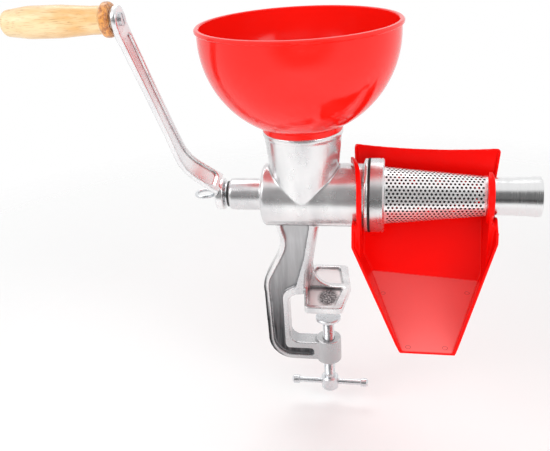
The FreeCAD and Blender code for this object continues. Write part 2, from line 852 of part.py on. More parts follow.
def strap(thickness, shift, width):
    """Band of a given thickness along the strap's path, shifted towards its inner face."""
    path = strap_path()
    start = path.Vertexes[0].Point
    along = path.Edges[0].tangentAt(path.Edges[0].FirstParameter)
    inner = along.cross(Y_AXIS)
    if inner.x < 0:
        inner = inner * -1
    low = start + inner * (shift - thickness / 2)
    high = start + inner * (shift + thickness / 2)
    half = Y_AXIS * (width / 2)
    section = Part.makePolygon([low - half, high - half, high + half, low + half, low - half])
    return path.makePipeShell([section], True, True)


def strap_front(shrink, low, high, end_r):
    """Waisted outline of the strap seen along the shaft, between two distances from it."""
    side = [
        (strap_root_w / 2 - shrink, low, end_r),
        (strap_mid_w / 2 - shrink, crank_radius * waist_low, strap_edge_round),
        (strap_mid_w / 2 - shrink, crank_radius * waist_high, strap_edge_round),
        (strap_tip_w / 2 - shrink, high, end_r),
    ]
    mirrored = [(-y, z, r) for y, z, r in reversed(side)]
    return plate_yz(side + mirrored, tip_face_x - 4 * strap_t, eye_x + eye_t)


def disc_x(r, start, thickness, chamfer):
    """Disc that faces along the shaft, with both edges chamfered."""
    disc = cylinder(r, start, X_AXIS, thickness)
    return disc.makeChamfer(chamfer, [e for e in disc.Edges if len(e.Vertexes) == 1])


def crank_arm():
    """Forged crank: eye on the shaft, channelled strap, knee and a tip for the handle."""
    blank_w = 2 * eye_r + strap_root_w
    eye = disc_x(eye_r, V(eye_x, 0, 0), eye_t, eye_chamfer)
    tip_start = handle_axis(tip_face_x - strap_t)
    tip = disc_x(tip_r, tip_start, strap_t, tip_chamfer)
    band = strap(strap_t, 0, blank_w).common(strap_front(0, 0, crank_radius, 0))
    channel_mid = (strap_t - channel_depth + reach) / 2
    channel = strap(channel_depth + reach, channel_mid, blank_w)
    channel_low = eye_r + channel_eye_gap
    channel_high = crank_radius - tip_r - channel_tip_gap
    channel = channel.common(strap_front(channel_rim, channel_low, channel_high, channel_end_r))
    solid = fused([eye, tip, band.cut(channel)])
    hole = cylinder(spindle_r + running_gap, tip_start - X_AXIS * reach, X_AXIS, strap_t + 2 * reach)
    socket = square_end(eye_x - reach, eye_x + eye_t + reach, square_flats + square_fit)
    return in_crank_plane(solid.cut(hole)).cut(socket)


def crank_washer():
    """Washer under the ring screw."""
    return ring_x(ring_shank_r + face_gap, crank_washer_r, crank_washer_x, crank_washer_x + washer_t)


def ring_screw():
    """Screw with a finger ring that holds the crank on the shaft."""
    neck_x = crank_washer_x - seat_gap
    shank = rod_x(ring_shank_r - thread_gap, neck_x, eye_x + ring_shank_l)
    neck_part = rod_x(ring_neck_r, neck_x - ring_neck_l, neck_x)
    ring_centre_x = neck_x - ring_neck_l - ring_r + ring_sink
    ring = Part.makeTorus(ring_r, ring_wire_r, V(ring_centre_x, 0, 0), Z_AXIS)
    return fused([shank, neck_part, ring])


def handle_axis(x):
    """Point on the handle's axis before the crank is leaned."""
    return V(x, 0, crank_radius)


def handle_ring(r_in, r_out, x0, x1):
    """Flat ring about the handle's axis."""
    start = handle_axis(min(x0, x1))
    length = abs(x1 - x0)
    ring = cylinder(r_out, start, X_AXIS, length).cut(cylinder(r_in, start, X_AXIS, length))
    return in_crank_plane(ring)


def handle_washer():
    """Washer between the crank's tip and the grip."""
    face = tip_face_x - strap_t - face_gap / 2
    return handle_ring(spindle_r + washer_hole_gap, handle_washer_r, face - washer_t, face)


def handle_grip():
    """Turned wooden grip that spins on the spindle."""
    near = grip_start_x
    bore = spindle_r + slip_gap
    bead_end = near - grip_bead_l
    grip = turned_x([
        (near, bore, 0),
        (near, grip_bead_r, grip_bead_round),
        (bead_end, grip_bead_r, grip_bead_round),
        (bead_end - grip_cove_l, grip_neck_r, grip_neck_round),
        (near - grip_neck_l, grip_neck_r, 0),
        (near - grip_belly_l, grip_belly_r, grip_belly_round),
        (grip_end_x + grip_taper_l, grip_belly_r, grip_taper_round),
        (grip_end_x, grip_end_r, grip_end_round),
        (grip_end_x, grip_counterbore_r, 0),
        (grip_floor_x, grip_counterbore_r, 0),
        (grip_floor_x, bore, 0),
    ], handle_axis(0))
    return in_crank_plane(grip)


def handle_spindle():
    """Bolt through the crank's tip and the grip, with a slotted head on the inner face."""
    end_x = grip_end_x + spindle_short
    head_x = tip_face_x + seat_gap / 2
    head = cylinder(spindle_head_r, handle_axis(head_x), X_AXIS, spindle_head_t)
    shank = cylinder(spindle_r, handle_axis(end_x), X_AXIS, head_x - end_x)
    slot_x = head_x + spindle_head_t - spindle_slot_depth
    slot_l = 4 * spindle_head_r
    corner = handle_axis(slot_x) - Y_AXIS * (spindle_slot_w / 2) - Z_AXIS * (slot_l / 2)
    slot = Part.makeBox(spindle_head_t, spindle_slot_w, slot_l, corner)
    return in_crank_plane(fused([head, shank]).cut(slot))


def handle_end_washer():
    """Washer on the floor of the grip's counterbore."""
    face = grip_floor_x - face_gap
    return handle_ring(spindle_r + washer_hole_gap, end_washer_r, face - washer_t, face)


def handle_end_nut():
    """Hexagon nut at the spindle's far end, sunk in the grip."""
    seat = grip_floor_x - 1.5 * face_gap - washer_t
    turns = [math.radians(60 * i) for i in range(6)]
    corners = [(end_nut_r * math.cos(t), end_nut_r * math.sin(t) + crank_radius, 0) for t in turns]
    nut = plate_yz(corners, seat - end_nut_h, seat)
    thread = cylinder(spindle_r + joint_gap, handle_axis(seat - end_nut_h), X_AXIS, end_nut_h)
    return in_crank_plane(nut.cut(thread))


# ---------------------------------------------------------------- clamp

def clamp_pad():
    """Pressure pad: a dished disc that swivels on the screw's tip."""
    back_z = pad_face_z - clamp_pad_t
    pad = turned_z([
        (0, back_z, 0),
        (clamp_pad_back_r, back_z, 0),
        (clamp_pad_r, pad_face_z - clamp_pad_edge, 0),
        (clamp_pad_r, pad_face_z, -clamp_pad_chamfer),
        (0, pad_face_z, 0),
    ], V(jaw_x, 0, 0))
    hole_r = screw_tip_r + face_gap
    return pad.cut(cylinder(hole_r, V(jaw_x, 0, back_z - reach), Z_AXIS, screw_tip_l + reach))


def clamp_screw():
    """Clamp screw with a turned-down tip and a cross-drilled head."""
    back_z = pad_face_z - clamp_pad_t
    shoulder = back_z - face_gap
    tip_top = back_z + screw_tip_l - face_gap
    foot = screw_head_z - screw_head_h
    screw = turned_z([
        (0, foot, 0),
        (screw_head_r, foot, -screw_head_chamfer),
        (screw_head_r, screw_head_z, -screw_head_chamfer),
        (screw_r, screw_head_z, 0),
        (screw_r, shoulder, -screw_end_chamfer),
        (screw_tip_r, shoulder, 0),
        (screw_tip_r, tip_top, -screw_tip_chamfer),
        (0, tip_top, 0),
    ], V(jaw_x, 0, 0))
    hole_l = 2 * (screw_head_r + reach)
    return screw.cut(cylinder(bar_r + bar_hole_gap, bar_point(-hole_l / 2), X_AXIS, hole_l))


def bar_point(x):
    """Point on the tommy bar's axis, measured from the screw."""
    return V(jaw_x + x, 0, screw_head_z - screw_head_h / 2)


def tommy_bar():
    """Loose bar that turns the clamp screw."""
    return cylinder(bar_r, bar_point(-bar_l / 2), X_AXIS, bar_l)


def bar_caps():
    """Domed caps, one on each end of the tommy bar."""
    caps = []
    about = bar_point(0)
    for side in (-1, 1):
        outer = side * (bar_l / 2 + cap_over)
        inner = outer - side * cap_l
        cap = turned_x([
            (about.x + inner, 0, 0),
            (about.x + inner, cap_r, -cap_inner_chamfer),
            (about.x + outer, cap_r, -cap_outer_chamfer),
            (about.x + outer, 0, 0),
        ], V(0, 0, about.z))
        caps.append(cap.cut(cylinder(bar_r + joint_gap, bar_point(-bar_l / 2), X_AXIS, bar_l)))
    return Part.makeCompound(caps)


# ---------------------------------------------------------------- chute

def beyond(point, normal):
    """Everything on the far side of a plane, near the chute."""
    size = 600.0
    block = Part.makeBox(size, size, size, V(-size / 2, -size / 2, 0))
    block.Placement = FreeCAD.Placement(point, FreeCAD.Rotation(Z_AXIS, normal))
    return block


def plane_through(a, b, c, outward):
    """Point and unit normal of the plane through three points, facing as asked."""
    normal = (b - a).cross(c - a).normalize()
    if normal.dot(outward) < 0:
        normal = normal * -1
    return a, normal


def placed(offsets):
    """X of a pair: the left from the mouth flange, the right from the cone's end."""
    return mouth_flange_x + offsets[0], cone_end_x + offsets[1]


def chute_planes():
    """Faces of the chute's hollow: back, under-back, floor, and an upper and a lower side at each end."""
    top_x = placed(chute_top_at)
    kink_x = placed(chute_kink_at)
    crease_x = placed(chute_crease_at)
    lip_x = placed(chute_lip_at)
    backs = [V(top_x[i], back_y[i], 0) for i in (0, 1)]
    bends = [V(top_x[i], back_y[i], back_bend_z) for i in (0, 1)]
    crease = [V(crease_x[i], crease_y, crease_z) for i in (0, 1)]
    lips = [V(lip_x[i], lip_y, lip_z) for i in (0, 1)]
    planes = [
        plane_through(backs[0], backs[1], backs[0] + Z_AXIS, Y_AXIS),
        plane_through(bends[0], bends[1], crease[0], V(0, 1, -1)),
        plane_through(crease[0], crease[1], lips[0], Z_AXIS * -1),
    ]
    for i, outward in ((0, X_AXIS * -1), (1, X_AXIS)):
        kink = V(kink_x[i], kink_y[i], kink_z)
        top = V(top_x[i], kink_y[i], chute_top_z)
        planes.append(plane_through(kink, crease[i], lips[i], outward))
        planes.append(plane_through(top, kink, kink + Y_AXIS, outward))
    return planes


def chute_ends():
    """Two X values, well outside the chute's left and right ends."""
    left, right = placed(chute_top_at)
    clear = 30.0
    return left - clear, right + clear


def chute_block(wall, lip_run):
    """Solid bounded by the chute's planes, each moved out by the wall."""
    left, right = chute_ends()
    deep = 2 * (abs(lip_y) + lip_run)
    tall = 2 * abs(lip_z)
    block = Part.makeBox(right - left, deep, tall, V(left, lip_y - lip_run, chute_foot_z))
    for point, normal in chute_planes():
        block = block.cut(beyond(point + normal * wall, normal))
    return block


def chute_side(end):
    """Side view of what is kept of the chute at one end: low lip, kinked side, horn, high back."""
    x = chute_ends()[end]
    far = max(back_y) + lip_opening
    before = lip_y - lip_opening / 4
    top_return, horn_return = back_return
    return rounded_wire([
        (before, chute_foot_z, 0),
        (far, chute_foot_z, 0),
        (far, chute_top_z, 0),
        (back_y[end] - top_return, chute_top_z, 0),
        (back_y[end] - horn_return, horn_z[end], back_return_round),
        (horn_y[end], horn_z[end], horn_round),
        (kink_y[end], kink_z, kink_round),
        (lip_y, lip_z + lip_side_h, lip_round),
        (before, lip_z + lip_side_h, 0),
    ], lambda p: V(x, p.x, p.y))


def horn_slope():
    """Cutter that slopes the right horn's top edge down from its hook to its front edge."""
    y, z = horn_y[1], horn_z[1]
    down = V(kink_y[1] - y, kink_z - z, 0).normalize() * horn_cut
    return plate_yz([
        (y + horn_cut, z, 0),
        (y + down.x, z + down.y, 0),
        (y - 2 * horn_cut, z + 2 * horn_cut, 0),
        (y + horn_cut, z + 2 * horn_cut, 0),
    ], placed(hook_at)[1] + hook_w[1] / 2, chute_ends()[1])


def back_top():
    """Cutter that lets the top of the back wall dip in the middle and rounds its corners."""
    low, high = chute_ends()
    left, right = placed(chute_top_at)
    left -= chute_wall
    right += chute_wall
    left_r, right_r = back_corner_r
    bow = chute_top_z - back_dip
    roof = chute_top_z + max(back_corner_r) * 4
    slant = 1 - math.sqrt(0.5)

    def line(a, b):
        return Part.LineSegment(V(a[0], 0, a[1]), V(b[0], 0, b[1])).toShape()

    def arc(a, m, b):
        return Part.Arc(V(a[0], 0, a[1]), V(m[0], 0, m[1]), V(b[0], 0, b[1])).toShape()

    left_low = (left, chute_top_z - left_r)
    left_top = (left + left_r, chute_top_z)
    right_top = (right - right_r, chute_top_z)
    right_low = (right, chute_top_z - right_r)
    edge = [
        line((low, left_low[1]), left_low),
        arc(left_low, (left + left_r * slant, chute_top_z - left_r * slant), left_top),
        arc(left_top, ((left + right) / 2, bow), right_top),
        arc(right_top, (right - right_r * slant, chute_top_z - right_r * slant), right_low),
        line(right_low, (high, right_low[1])),
        line((high, right_low[1]), (high, roof)),
        line((high, roof), (low, roof)),
        line((low, roof), (low, left_low[1])),
    ]
    return Part.Face(Part.Wire(edge)).extrude(V(0, 2 * max(back_y), 0))


def hook(end):
    """C-shaped hook that reaches round the front of a round piece and bites on its top, tapered at its tip."""
    out_r = clip_r[end] + hook_wall[end]
    foot_x = placed(hook_at)[end]
    sections = []
    for degrees in (hook_low, hook_low / 2, *hook_stations, hook_reach):
        t = math.radians(degrees)
        rise = max(0.0, degrees / hook_reach)
        tip = max(0.0, (degrees - hook_taper_from) / (hook_reach - hook_taper_from))
        out = V(0, -math.cos(t), math.sin(t))
        side = X_AXIS * (hook_w[end] / 2 * (1 - hook_taper * tip ** 2))
        at = X_AXIS * (foot_x + hook_lean[end] * rise ** 3)
        thin = hook_tip_thin * tip ** 2
        inner = out * (out_r - hook_t[end] - thin)
        outer = out * (out_r - thin)
        corners = [at + inner - side, at + inner + side, at + outer + side, at + outer - side]
        sections.append(Part.makePolygon(corners + corners[:1]))
    return Part.makeLoft(sections, True, False)


def chute_rib(end):
    """Upright rib across the trough that carries a hook, and the lower web that joins it to the end wall."""
    x = placed(hook_at)[end]
    outward = (-1, 1)[end]
    front = -clip_r[end] - hook_wall[end]
    rear = back_y[end] + rib_past

    def upright(top, x0, x1):
        outline = [(front, chute_foot_z, 0), (rear, chute_foot_z, 0), (rear, top, 0), (front, top, 0)]
        return plate_yz(outline, min(x0, x1), max(x0, x1))

    inner = x - outward * rib_t / 2
    rib = upright(horn_z[end] + rib_rise, inner, x + outward * rib_t / 2)
    web = upright(horn_z[end] - horn_groove, inner, chute_ends()[end])
    return rib.fuse(web)


def chute():
    """Moulded chute: back wall, funnel tray and two hooks that clip on the barrel and the outlet."""
    outer = chute_block(chute_wall, 0.0)
    trim = Part.makeLoft([chute_side(0), chute_side(1)], True, True)
    shell = outer.cut(chute_block(0.0, lip_opening)).common(trim).cut(back_top())
    pieces = [shell]
    for end in (0, 1):
        pieces.append(chute_rib(end).common(outer))
        pieces.append(hook(end))
    solid = fused(pieces)
    left, right = chute_ends()
    hook_x = placed(hook_at)
    return without(solid, [
        horn_slope(),
        rod_x(clip_seat_r[0], left, hook_x[0] + hook_w[0] / 2 + seat_gap),
        rod_x(clip_seat_r[1], hook_x[1] - hook_w[1] / 2 - 2 * reach, right),
    ])


# ---------------------------------------------------------------- export

NODES = {
    "body_casting": body_casting,
    "hopper": hopper,
    "rear_bushing": rear_bushing,
    "shaft_seal": shaft_seal,
    "mouth_gasket": mouth_gasket,
    "drive_shaft": drive_shaft,
    "auger": auger,
    "thrust_washer": thrust_washer,
    "strainer_flange": strainer_flange,
    "strainer_cone": strainer_cone,
    "outlet_collar": outlet_collar,
    "outlet_tube": outlet_tube,
    "ring_nut": ring_nut,
    "crank_arm": crank_arm,
    "crank_washer": crank_washer,
    "ring_screw": ring_screw,
    "handle_grip": handle_grip,
    "handle_spindle": handle_spindle,
    "handle_washer": handle_washer,
    "handle_end_washer": handle_end_washer,
    "handle_end_nut": handle_end_nut,
    "clamp_screw": clamp_screw,
    "clamp_pad": clamp_pad,
    "tommy_bar": tommy_bar,
    "bar_caps": bar_caps,
    "chute": chute,
}

os.makedirs("parts", exist_ok=True)
for name, make in NODES.items():
    shape = make()
    shape.translate(V(-jaw_x, 0, axis_height))
    shape.exportStep("parts/" + name + ".step")
    box = shape.BoundBox
    print("%-18s solids %d valid %s volume %9.0f  X %.1f %.1f  Y %.1f %.1f  Z %.1f %.1f" % (
        name, len(shape.Solids), shape.isValid(), shape.Volume,
        box.XMin, box.XMax, box.YMin, box.YMax, box.ZMin, box.ZMax))
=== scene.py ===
import json
import math

import bmesh
import bpy
import numpy as np
from mathutils import Matrix, Vector
from mathutils.geometry import delaunay_2d_cdt


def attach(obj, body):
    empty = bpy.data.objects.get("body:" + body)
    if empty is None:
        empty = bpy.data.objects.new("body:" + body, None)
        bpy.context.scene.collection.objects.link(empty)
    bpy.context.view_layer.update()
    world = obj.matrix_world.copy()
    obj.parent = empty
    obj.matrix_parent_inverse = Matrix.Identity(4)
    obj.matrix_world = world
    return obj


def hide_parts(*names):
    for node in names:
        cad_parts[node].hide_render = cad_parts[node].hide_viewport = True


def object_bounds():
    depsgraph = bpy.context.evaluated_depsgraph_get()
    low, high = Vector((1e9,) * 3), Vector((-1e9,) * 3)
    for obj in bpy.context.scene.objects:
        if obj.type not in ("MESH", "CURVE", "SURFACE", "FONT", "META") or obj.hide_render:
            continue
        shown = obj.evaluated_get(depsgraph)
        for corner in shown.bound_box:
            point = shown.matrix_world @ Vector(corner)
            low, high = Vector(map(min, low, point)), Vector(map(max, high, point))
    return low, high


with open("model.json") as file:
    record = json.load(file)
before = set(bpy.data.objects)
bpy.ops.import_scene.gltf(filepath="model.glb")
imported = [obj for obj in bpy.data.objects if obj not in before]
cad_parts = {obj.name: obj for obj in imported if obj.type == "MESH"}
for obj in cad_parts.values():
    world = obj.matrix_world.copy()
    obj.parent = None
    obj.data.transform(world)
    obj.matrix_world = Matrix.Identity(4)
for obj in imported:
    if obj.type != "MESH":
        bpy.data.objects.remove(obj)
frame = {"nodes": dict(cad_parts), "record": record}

cad_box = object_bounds()
NODES = frame["nodes"]
MM = 0.001
TURN = 2 * math.pi

# Sizes are in millimetres, places in the row frame.
SHAFT_Z = 107.0
SHARP_ANGLE = 35.0             # degrees between two faces above which their edge stays sharp
MERGED = 0.005                 # corners closer than this are one
TRIANGLE_LIMIT = 190000

# Perforated cone
CONE_X = (56.6, 147.0)
CONE_R = (26.8, 18.3)
SHEET = 0.5
HOLE_R = 1.15
HOLE_PITCH = 3.8
HOLE_SIDES = 14
HOLE_MARGIN = 1.7              # least distance from a hole's centre to the sheet's edge
HOLE_SHARE = 0.98              # share of a hole's radius within which a triangle is cut out
LATTICE_BEFORE = 4             # columns of holes tried before the small end
LATTICE_SPARE = (30, 2)        # further columns and rows tried, to cover the whole sheet
SEAM_ANGLE = 0.0006            # half the slit at the seam, in radians on the flat sheet
SHEET_TURN = math.radians(154.0)   # turn of the sheet's middle about the shaft
RIM_POINTS = 121
SEAM_POINTS = 31
SAME_POINT = 1e-5              # corners closer than this on the flat sheet are one

# Clamp screw
SCREW_TOP_Z = -36.8
SCREW_FOOT_Z = -105.9
SCREW_R = 6.0
THREAD_DEPTH = 0.9
THREAD_PITCH = 2.0
THREAD_START = 3.0             # plain length above the head
ROD_SIDES = 48
ROWS_A_TURN = 10
ROD_INTO_END = 0.4             # how far the rod reaches into the head and the tip
ROD_INSET = 0.02               # how much smaller the rod is than the head's and the tip's shank
SCREW_SHARP_ANGLE = 28.0
CUT_REACH = 1e-6               # in metres, how near to the cut a corner counts as on it

# Gasket: its crown has a half width, a foot radius and a rise
GASKET_X = 42.7
GASKET_T = 1.2
GASKET_R = (31.8, 34.3)
GASKET_CROWN = (1.02, 34.75, 0.3)
GASKET_SIDES = 144
CROWN_POINTS = 13

# Softened castings: grid cell and rounds of relaxing
CASTING_GRID = (0.75, 9)
CRANK_GRID = (0.6, 4)
CHUTE_GRID = (0.7, 6)
RELAX_SHARE = 0.5
CRANK_LEAN = math.radians(20.0)
STRAP_SLOPE = math.atan2(24.0, 141.7)

# Attributes: rounds of averaging with the neighbours
CASTING_RELIEF = 4
CRANK_RELIEF = 8
RELIEF_BLUR = 3
MARK_BLUR = 2

# Fields of the castings, found by their place and by how squarely they face their side
FIELD_FACING = 0.8
PANEL_Y = (5.0, 0.9)           # place of the leg's sunk fields, and how far off still counts
PANEL_TOP_Z = 82.0
JAW_FIELD_Z = (4.0, 0.8)       # the same for the fields on the jaw
JAW_HALF_X = 24.0
TRAY_FACING = 0.93
TRAY_TOP_Z = 26.0
# painted shade under the barrel and on the leg's rear rim
UNDERSIDE = (0.74, 0.84)       # downward share of the normal where the painted shade starts and is full
BARREL_SHADE_R = 24.0           # least distance from the shaft's axis, and least height
BARREL_SHADE_Z = 60.0
REAR_BAND = (3.4, 1.2)         # width of the band of painted shade at the foot and at the top
REAR_BAND_Z = (-20.0, 50.0)
REAR_BAND_FULL_Z = 10.0        # above this the band fades
REAR_ROW = 2.0                 # height of the rows in which the rear edge is found

# Marks in the finish, and places of painted shade and reflection
JAW_PAINTED_REFLECTION = (2.5, -18.5, 4.0)
JAW_PAINTED_REFLECTION_STRETCH = (1.0, 0.62, 1.0)
JAW_PAINTED_REFLECTION_R = (7.5, 11.5)      # where the painted reflection starts to fade and where it ends
EJECTOR_MARKS = (
    (79.5, -104.6, 10.6),
    (110.4, -103.7, 10.7),
    (56.6, -31.2, 18.9),
    (134.5, -26.8, 19.4),
)
EJECTOR_R = 2.1
EJECTOR_LINE = (0.1, 0.5)      # distance from the ring where its line starts to fade and ends
BEAD_X = -164.5                # edge of the grip's bead, and how far its colour fades either way
BEAD_FADE = 1.2
LEG_SHADE_Z = (-45.0, 60.0)    # heights between which the sunk fields lighten upwards, out of a painted dark reflection
ARM_SHADE_Z = (-55.0, -5.0)    # heights between which the painted shade of the lower arm fades

# Tones of the cast aluminium
POLISHED = (0.90, 0.90, 0.90)
BRUSHED = (0.92, 0.92, 0.92)
# painted shade on the lower arm
ARM_PAINTED_SHADE = (0.34, 0.34, 0.35)
# sunk fields: duller metal, with a painted dark reflection that darkens it towards the foot
FOOT_DARK = (0.02, 0.02, 0.022)
FOOT_LIGHT = (0.24, 0.24, 0.25)
LEG_DARK = (0.50, 0.50, 0.51)
LEG_LIGHT = (0.70, 0.70, 0.71)
# painted shade in the creases
CREASE_PAINTED_SHADE = (0.13, 0.13, 0.14)
# painted shade under the barrel and on the leg's rear rim
PAINTED_SHADE_TONE = (0.025, 0.025, 0.027)
# painted dark reflection on the jaw
PAINTED_REFLECTION_TONE = (0.045, 0.045, 0.05)
BRUSHED_METALLIC = 0.35

# Light
WORLD_LEVEL = 0.66
BAY_DIRECTION = (0.185, -0.952, 0.242)
BAY_EDGE = 0.64                # cosines from the bay's direction at its edge and core
BAY_CORE = 0.88
BAY_LEVEL = 0.15
HORIZON_LEVEL = 0.25
HORIZON_SPAN = (0.05, 0.16)    # heights between which the dark strip fades
HORIZON_FRONT = (-0.5, 0.1)    # depths between which it fades towards the back
LAMP_AIM = (0, 0, 0.1)
# name, place and size in metres, power in watts, whether metal mirrors it
LAMPS = (
    ("key", (-1.1, -0.8, 1.1), (0.9, 0.9), 6.0, True),
    ("fill", (1.1, -0.9, 0.9), (0.6, 0.9), 4.0, True),
    ("back", (-0.3, 0.8, 1.5), (1.2, 0.7), 6.0, True),
    ("front", (0.3, -1.2, 0.3), (0.8, 0.6), 6.0, False),
)

# Floor and camera, in metres and degrees
CLAMP_DROP = 0.019             # how far the clamp screw is let down
FLOOR_GAP = 0.0005
FLOOR_HALF = 15.0
FLOOR_FADE = (0.45, 0.95)      # distances between which the floor fades out
VIEW_ANGLES = (11.02, 25.57, -3.77)
VIEW_PLACE = (0.0659, -0.5947, 0.3632)
LENS = 44.53
SENSOR = 36.0
CLIP = (0.01, 60.0)


# ---------------------------------------------------------------- meshes

def shown(name, data):
    """Object of the scene with this mesh, lamp or camera."""
    piece = bpy.data.objects.new(name, data)
    bpy.context.scene.collection.objects.link(piece)
    return piece


def turned_outwards(mesh, sharp_angle):
    """Turns a closed mesh's faces outwards and keeps only edges above an angle in degrees sharp."""
    shape = bmesh.new()
    shape.from_mesh(mesh)
    bmesh.ops.recalc_face_normals(shape, faces=shape.faces)
    shape.to_mesh(mesh)
    shape.free()
    mesh.shade_smooth()
    mesh.set_sharp_from_angle(angle=math.radians(sharp_angle))


def new_piece(name, vertices, faces):
    """Closed piece from vertices in millimetres and faces."""
    mesh = bpy.data.meshes.new(name)
    mesh.from_pydata(vertices * MM, [], faces)
    turned_outwards(mesh, SHARP_ANGLE)
    return shown(name, mesh)


def place(piece, body, slot, material, *nodes):
    """Gives a new piece its body and its material, and hides the CAD nodes it stands for; slot is
    not used.
    """
    piece.data.materials.clear()
    piece.data.materials.append(material)
    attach(piece, body)
    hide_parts(*nodes)


def ring_faces(rings, sides, closed):
    """Faces between neighbouring rings of corners; closed joins the last ring to the first."""
    gaps = rings if closed else rings - 1
    i, j = np.meshgrid(np.arange(gaps), np.arange(sides), indexing="ij")
    next_i, next_j = (i + 1) % rings, (j + 1) % sides
    corners = [i * sides + j, i * sides + next_j, next_i * sides + next_j, next_i * sides + j]
    return np.stack(corners, 2).reshape(-1, 4).tolist()


def flat_lattice(start, end, half_angle):
    """Staggered hole centres on the cone's flat development, clear of its four edges."""
    row = HOLE_PITCH * math.sqrt(3) / 2
    across = int(end * math.sin(half_angle) / row) + LATTICE_SPARE[1]
    along = int((end - start) / HOLE_PITCH) + LATTICE_SPARE[0]
    j, i = np.meshgrid(np.arange(-across, across + 1), np.arange(along), indexing="ij")
    first = start * math.cos(half_angle) - LATTICE_BEFORE * HOLE_PITCH
    a = first + (i + 0.5 * (j % 2)) * HOLE_PITCH
    b = j * row
    s, turn = np.hypot(a, b), np.arctan2(b, a)
    keep = (s > start + HOLE_MARGIN) & (s < end - HOLE_MARGIN)
    keep &= np.abs(turn) < half_angle - HOLE_MARGIN / s
    return np.stack([a[keep], b[keep]], 1)


def flat_sheet(start, end, half, centres):
    """Corners and triangles of the punched ring sector between two distances from the apex."""
    arc = np.linspace(-half, half, RIM_POINTS)
    side = np.linspace(start, end, SEAM_POINTS)[1:-1]
    rim = np.concatenate([
        np.stack([end * np.cos(arc), end * np.sin(arc)], 1),
        np.stack([side[::-1] * math.cos(half), side[::-1] * math.sin(half)], 1),
        np.stack([start * np.cos(arc[::-1]), start * np.sin(arc[::-1])], 1),
        np.stack([side * math.cos(half), -side * math.sin(half)], 1),
    ])
    step_turn = np.arange(HOLE_SIDES) * TURN / HOLE_SIDES
    ring = HOLE_R * np.stack([np.cos(step_turn), np.sin(step_turn)], 1)
    holes = (centres[:, None, :] + ring[None]).reshape(-1, 2)
    count = len(rim)
    rim_edges = np.stack([np.arange(count), (np.arange(count) + 1) % count], 1)
    first = count + HOLE_SIDES * np.arange(len(centres))[:, None]
    step = np.arange(HOLE_SIDES)[None]
    hole_edges = np.stack([first + step, first + (step + 1) % HOLE_SIDES], 2).reshape(-1, 2)
    points = [Vector(p) for p in np.concatenate([rim, holes])]
    edges = np.concatenate([rim_edges, hole_edges]).tolist()
    made = delaunay_2d_cdt(points, edges, [], 1, SAME_POINT)
    flat = np.array([v[:] for v in made[0]], float)
    faces = np.array(made[2])
    middle = flat[faces].mean(1)
    nearest = centres[((middle[:, None, :] - centres[None, :, :]) ** 2).sum(2).argmin(1)]
    return flat, faces[np.hypot(*(middle - nearest).T) > HOLE_R * HOLE_SHARE]


def perforated_cone():
    """Rolled sheet with punched holes.

    The flat development is a ring sector: a point at distance s from the apex and angle t on
    the flat sheet goes to radius s sin(slope) and turn t / sin(slope) about the shaft. The
    second shell lies one sheet further in, and walls join the two along every open edge.
    """
    slope = math.atan((CONE_R[0] - CONE_R[1]) / (CONE_X[1] - CONE_X[0]))
    apex_x = CONE_X[0] + CONE_R[0] / math.tan(slope)
    end, start = CONE_R[0] / math.sin(slope), CONE_R[1] / math.sin(slope)
    half = math.pi * math.sin(slope) - SEAM_ANGLE
    flat, faces = flat_sheet(start, end, half, flat_lattice(start, end, half))
    s = np.hypot(*flat.T)
    turn = np.arctan2(flat[:, 1], flat[:, 0]) / math.sin(slope) + SHEET_TURN
    shells = []
    for depth in (0.0, SHEET):
        r = s * math.sin(slope) - depth * math.cos(slope)
        x = apex_x - s * math.cos(slope) - depth * math.sin(slope)
        shells.append(np.stack([x, r * np.cos(turn), SHAFT_Z + r * np.sin(turn)], 1))
    count = len(flat)
    directed = np.concatenate([faces[:, (0, 1)], faces[:, (1, 2)], faces[:, (2, 0)]])
    code = directed[:, 0] * count + directed[:, 1]
    back = directed[:, 1] * count + directed[:, 0]
    a, b = directed[~np.isin(code, back)].T
    walls = np.stack([b, a, a + count, b + count], 1)
    every = faces.tolist() + (faces[:, ::-1] + count).tolist() + walls.tolist()
    sheet = new_piece("strainer_sheet", np.concatenate(shells), every)
    place(sheet, "strainer", "polished_steel", sheet_steel(), "strainer_cone")
    # the inside of the sheet is nearly black: painted shade
    sheet.data.materials.append(painted_shade_inside())
    inside = np.ones(len(every), dtype=np.int32)
    inside[:len(faces)] = 0
    sheet.data.polygons.foreach_set("material_index", inside)


def squeezed_gasket():
    """Rubber ring pressed out over the chamfers on both sides of it.

    Its section is a flat stem with half an ellipse on top, turned about the shaft's axis.
    """
    half_wide, foot_r, rise = GASKET_CROWN
    arc = np.linspace(0, math.pi, CROWN_POINTS)
    crown = np.stack([half_wide * np.cos(arc), foot_r + rise * np.sin(arc)], 1)
    half_t, (inner_r, outer_r) = GASKET_T / 2, GASKET_R
    stem = [(-half_t, outer_r), (-half_t, inner_r), (half_t, inner_r), (half_t, outer_r)]
    section = np.concatenate([crown, stem])
    turn = np.arange(GASKET_SIDES)[:, None] * TURN / GASKET_SIDES
    x = np.broadcast_to(GASKET_X + section[None, :, 0], (GASKET_SIDES, len(section)))
    r = section[None, :, 1]
    ring = np.stack([x, r * np.cos(turn), SHAFT_Z + r * np.sin(turn)], 2).reshape(-1, 3)
    gasket = new_piece("squeezed_gasket", ring, ring_faces(GASKET_SIDES, len(section), True))
    place(gasket, "frame", "black_rubber", FINISHES["black_rubber"], "mouth_gasket")


def merged_copy(name, node):
    """Copy of a CAD node's mesh with its loose triangles joined."""
    mesh = NODES[node].data.copy()
    mesh.name = name
    if mesh.attributes.get("custom_normal"):
        mesh.attributes.remove(mesh.attributes["custom_normal"])
    shape = bmesh.new()
    shape.from_mesh(mesh)
    bmesh.ops.remove_doubles(shape, verts=shape.verts, dist=MERGED * MM)
    shape.to_mesh(mesh)
    shape.free()
    return shown(name, mesh)


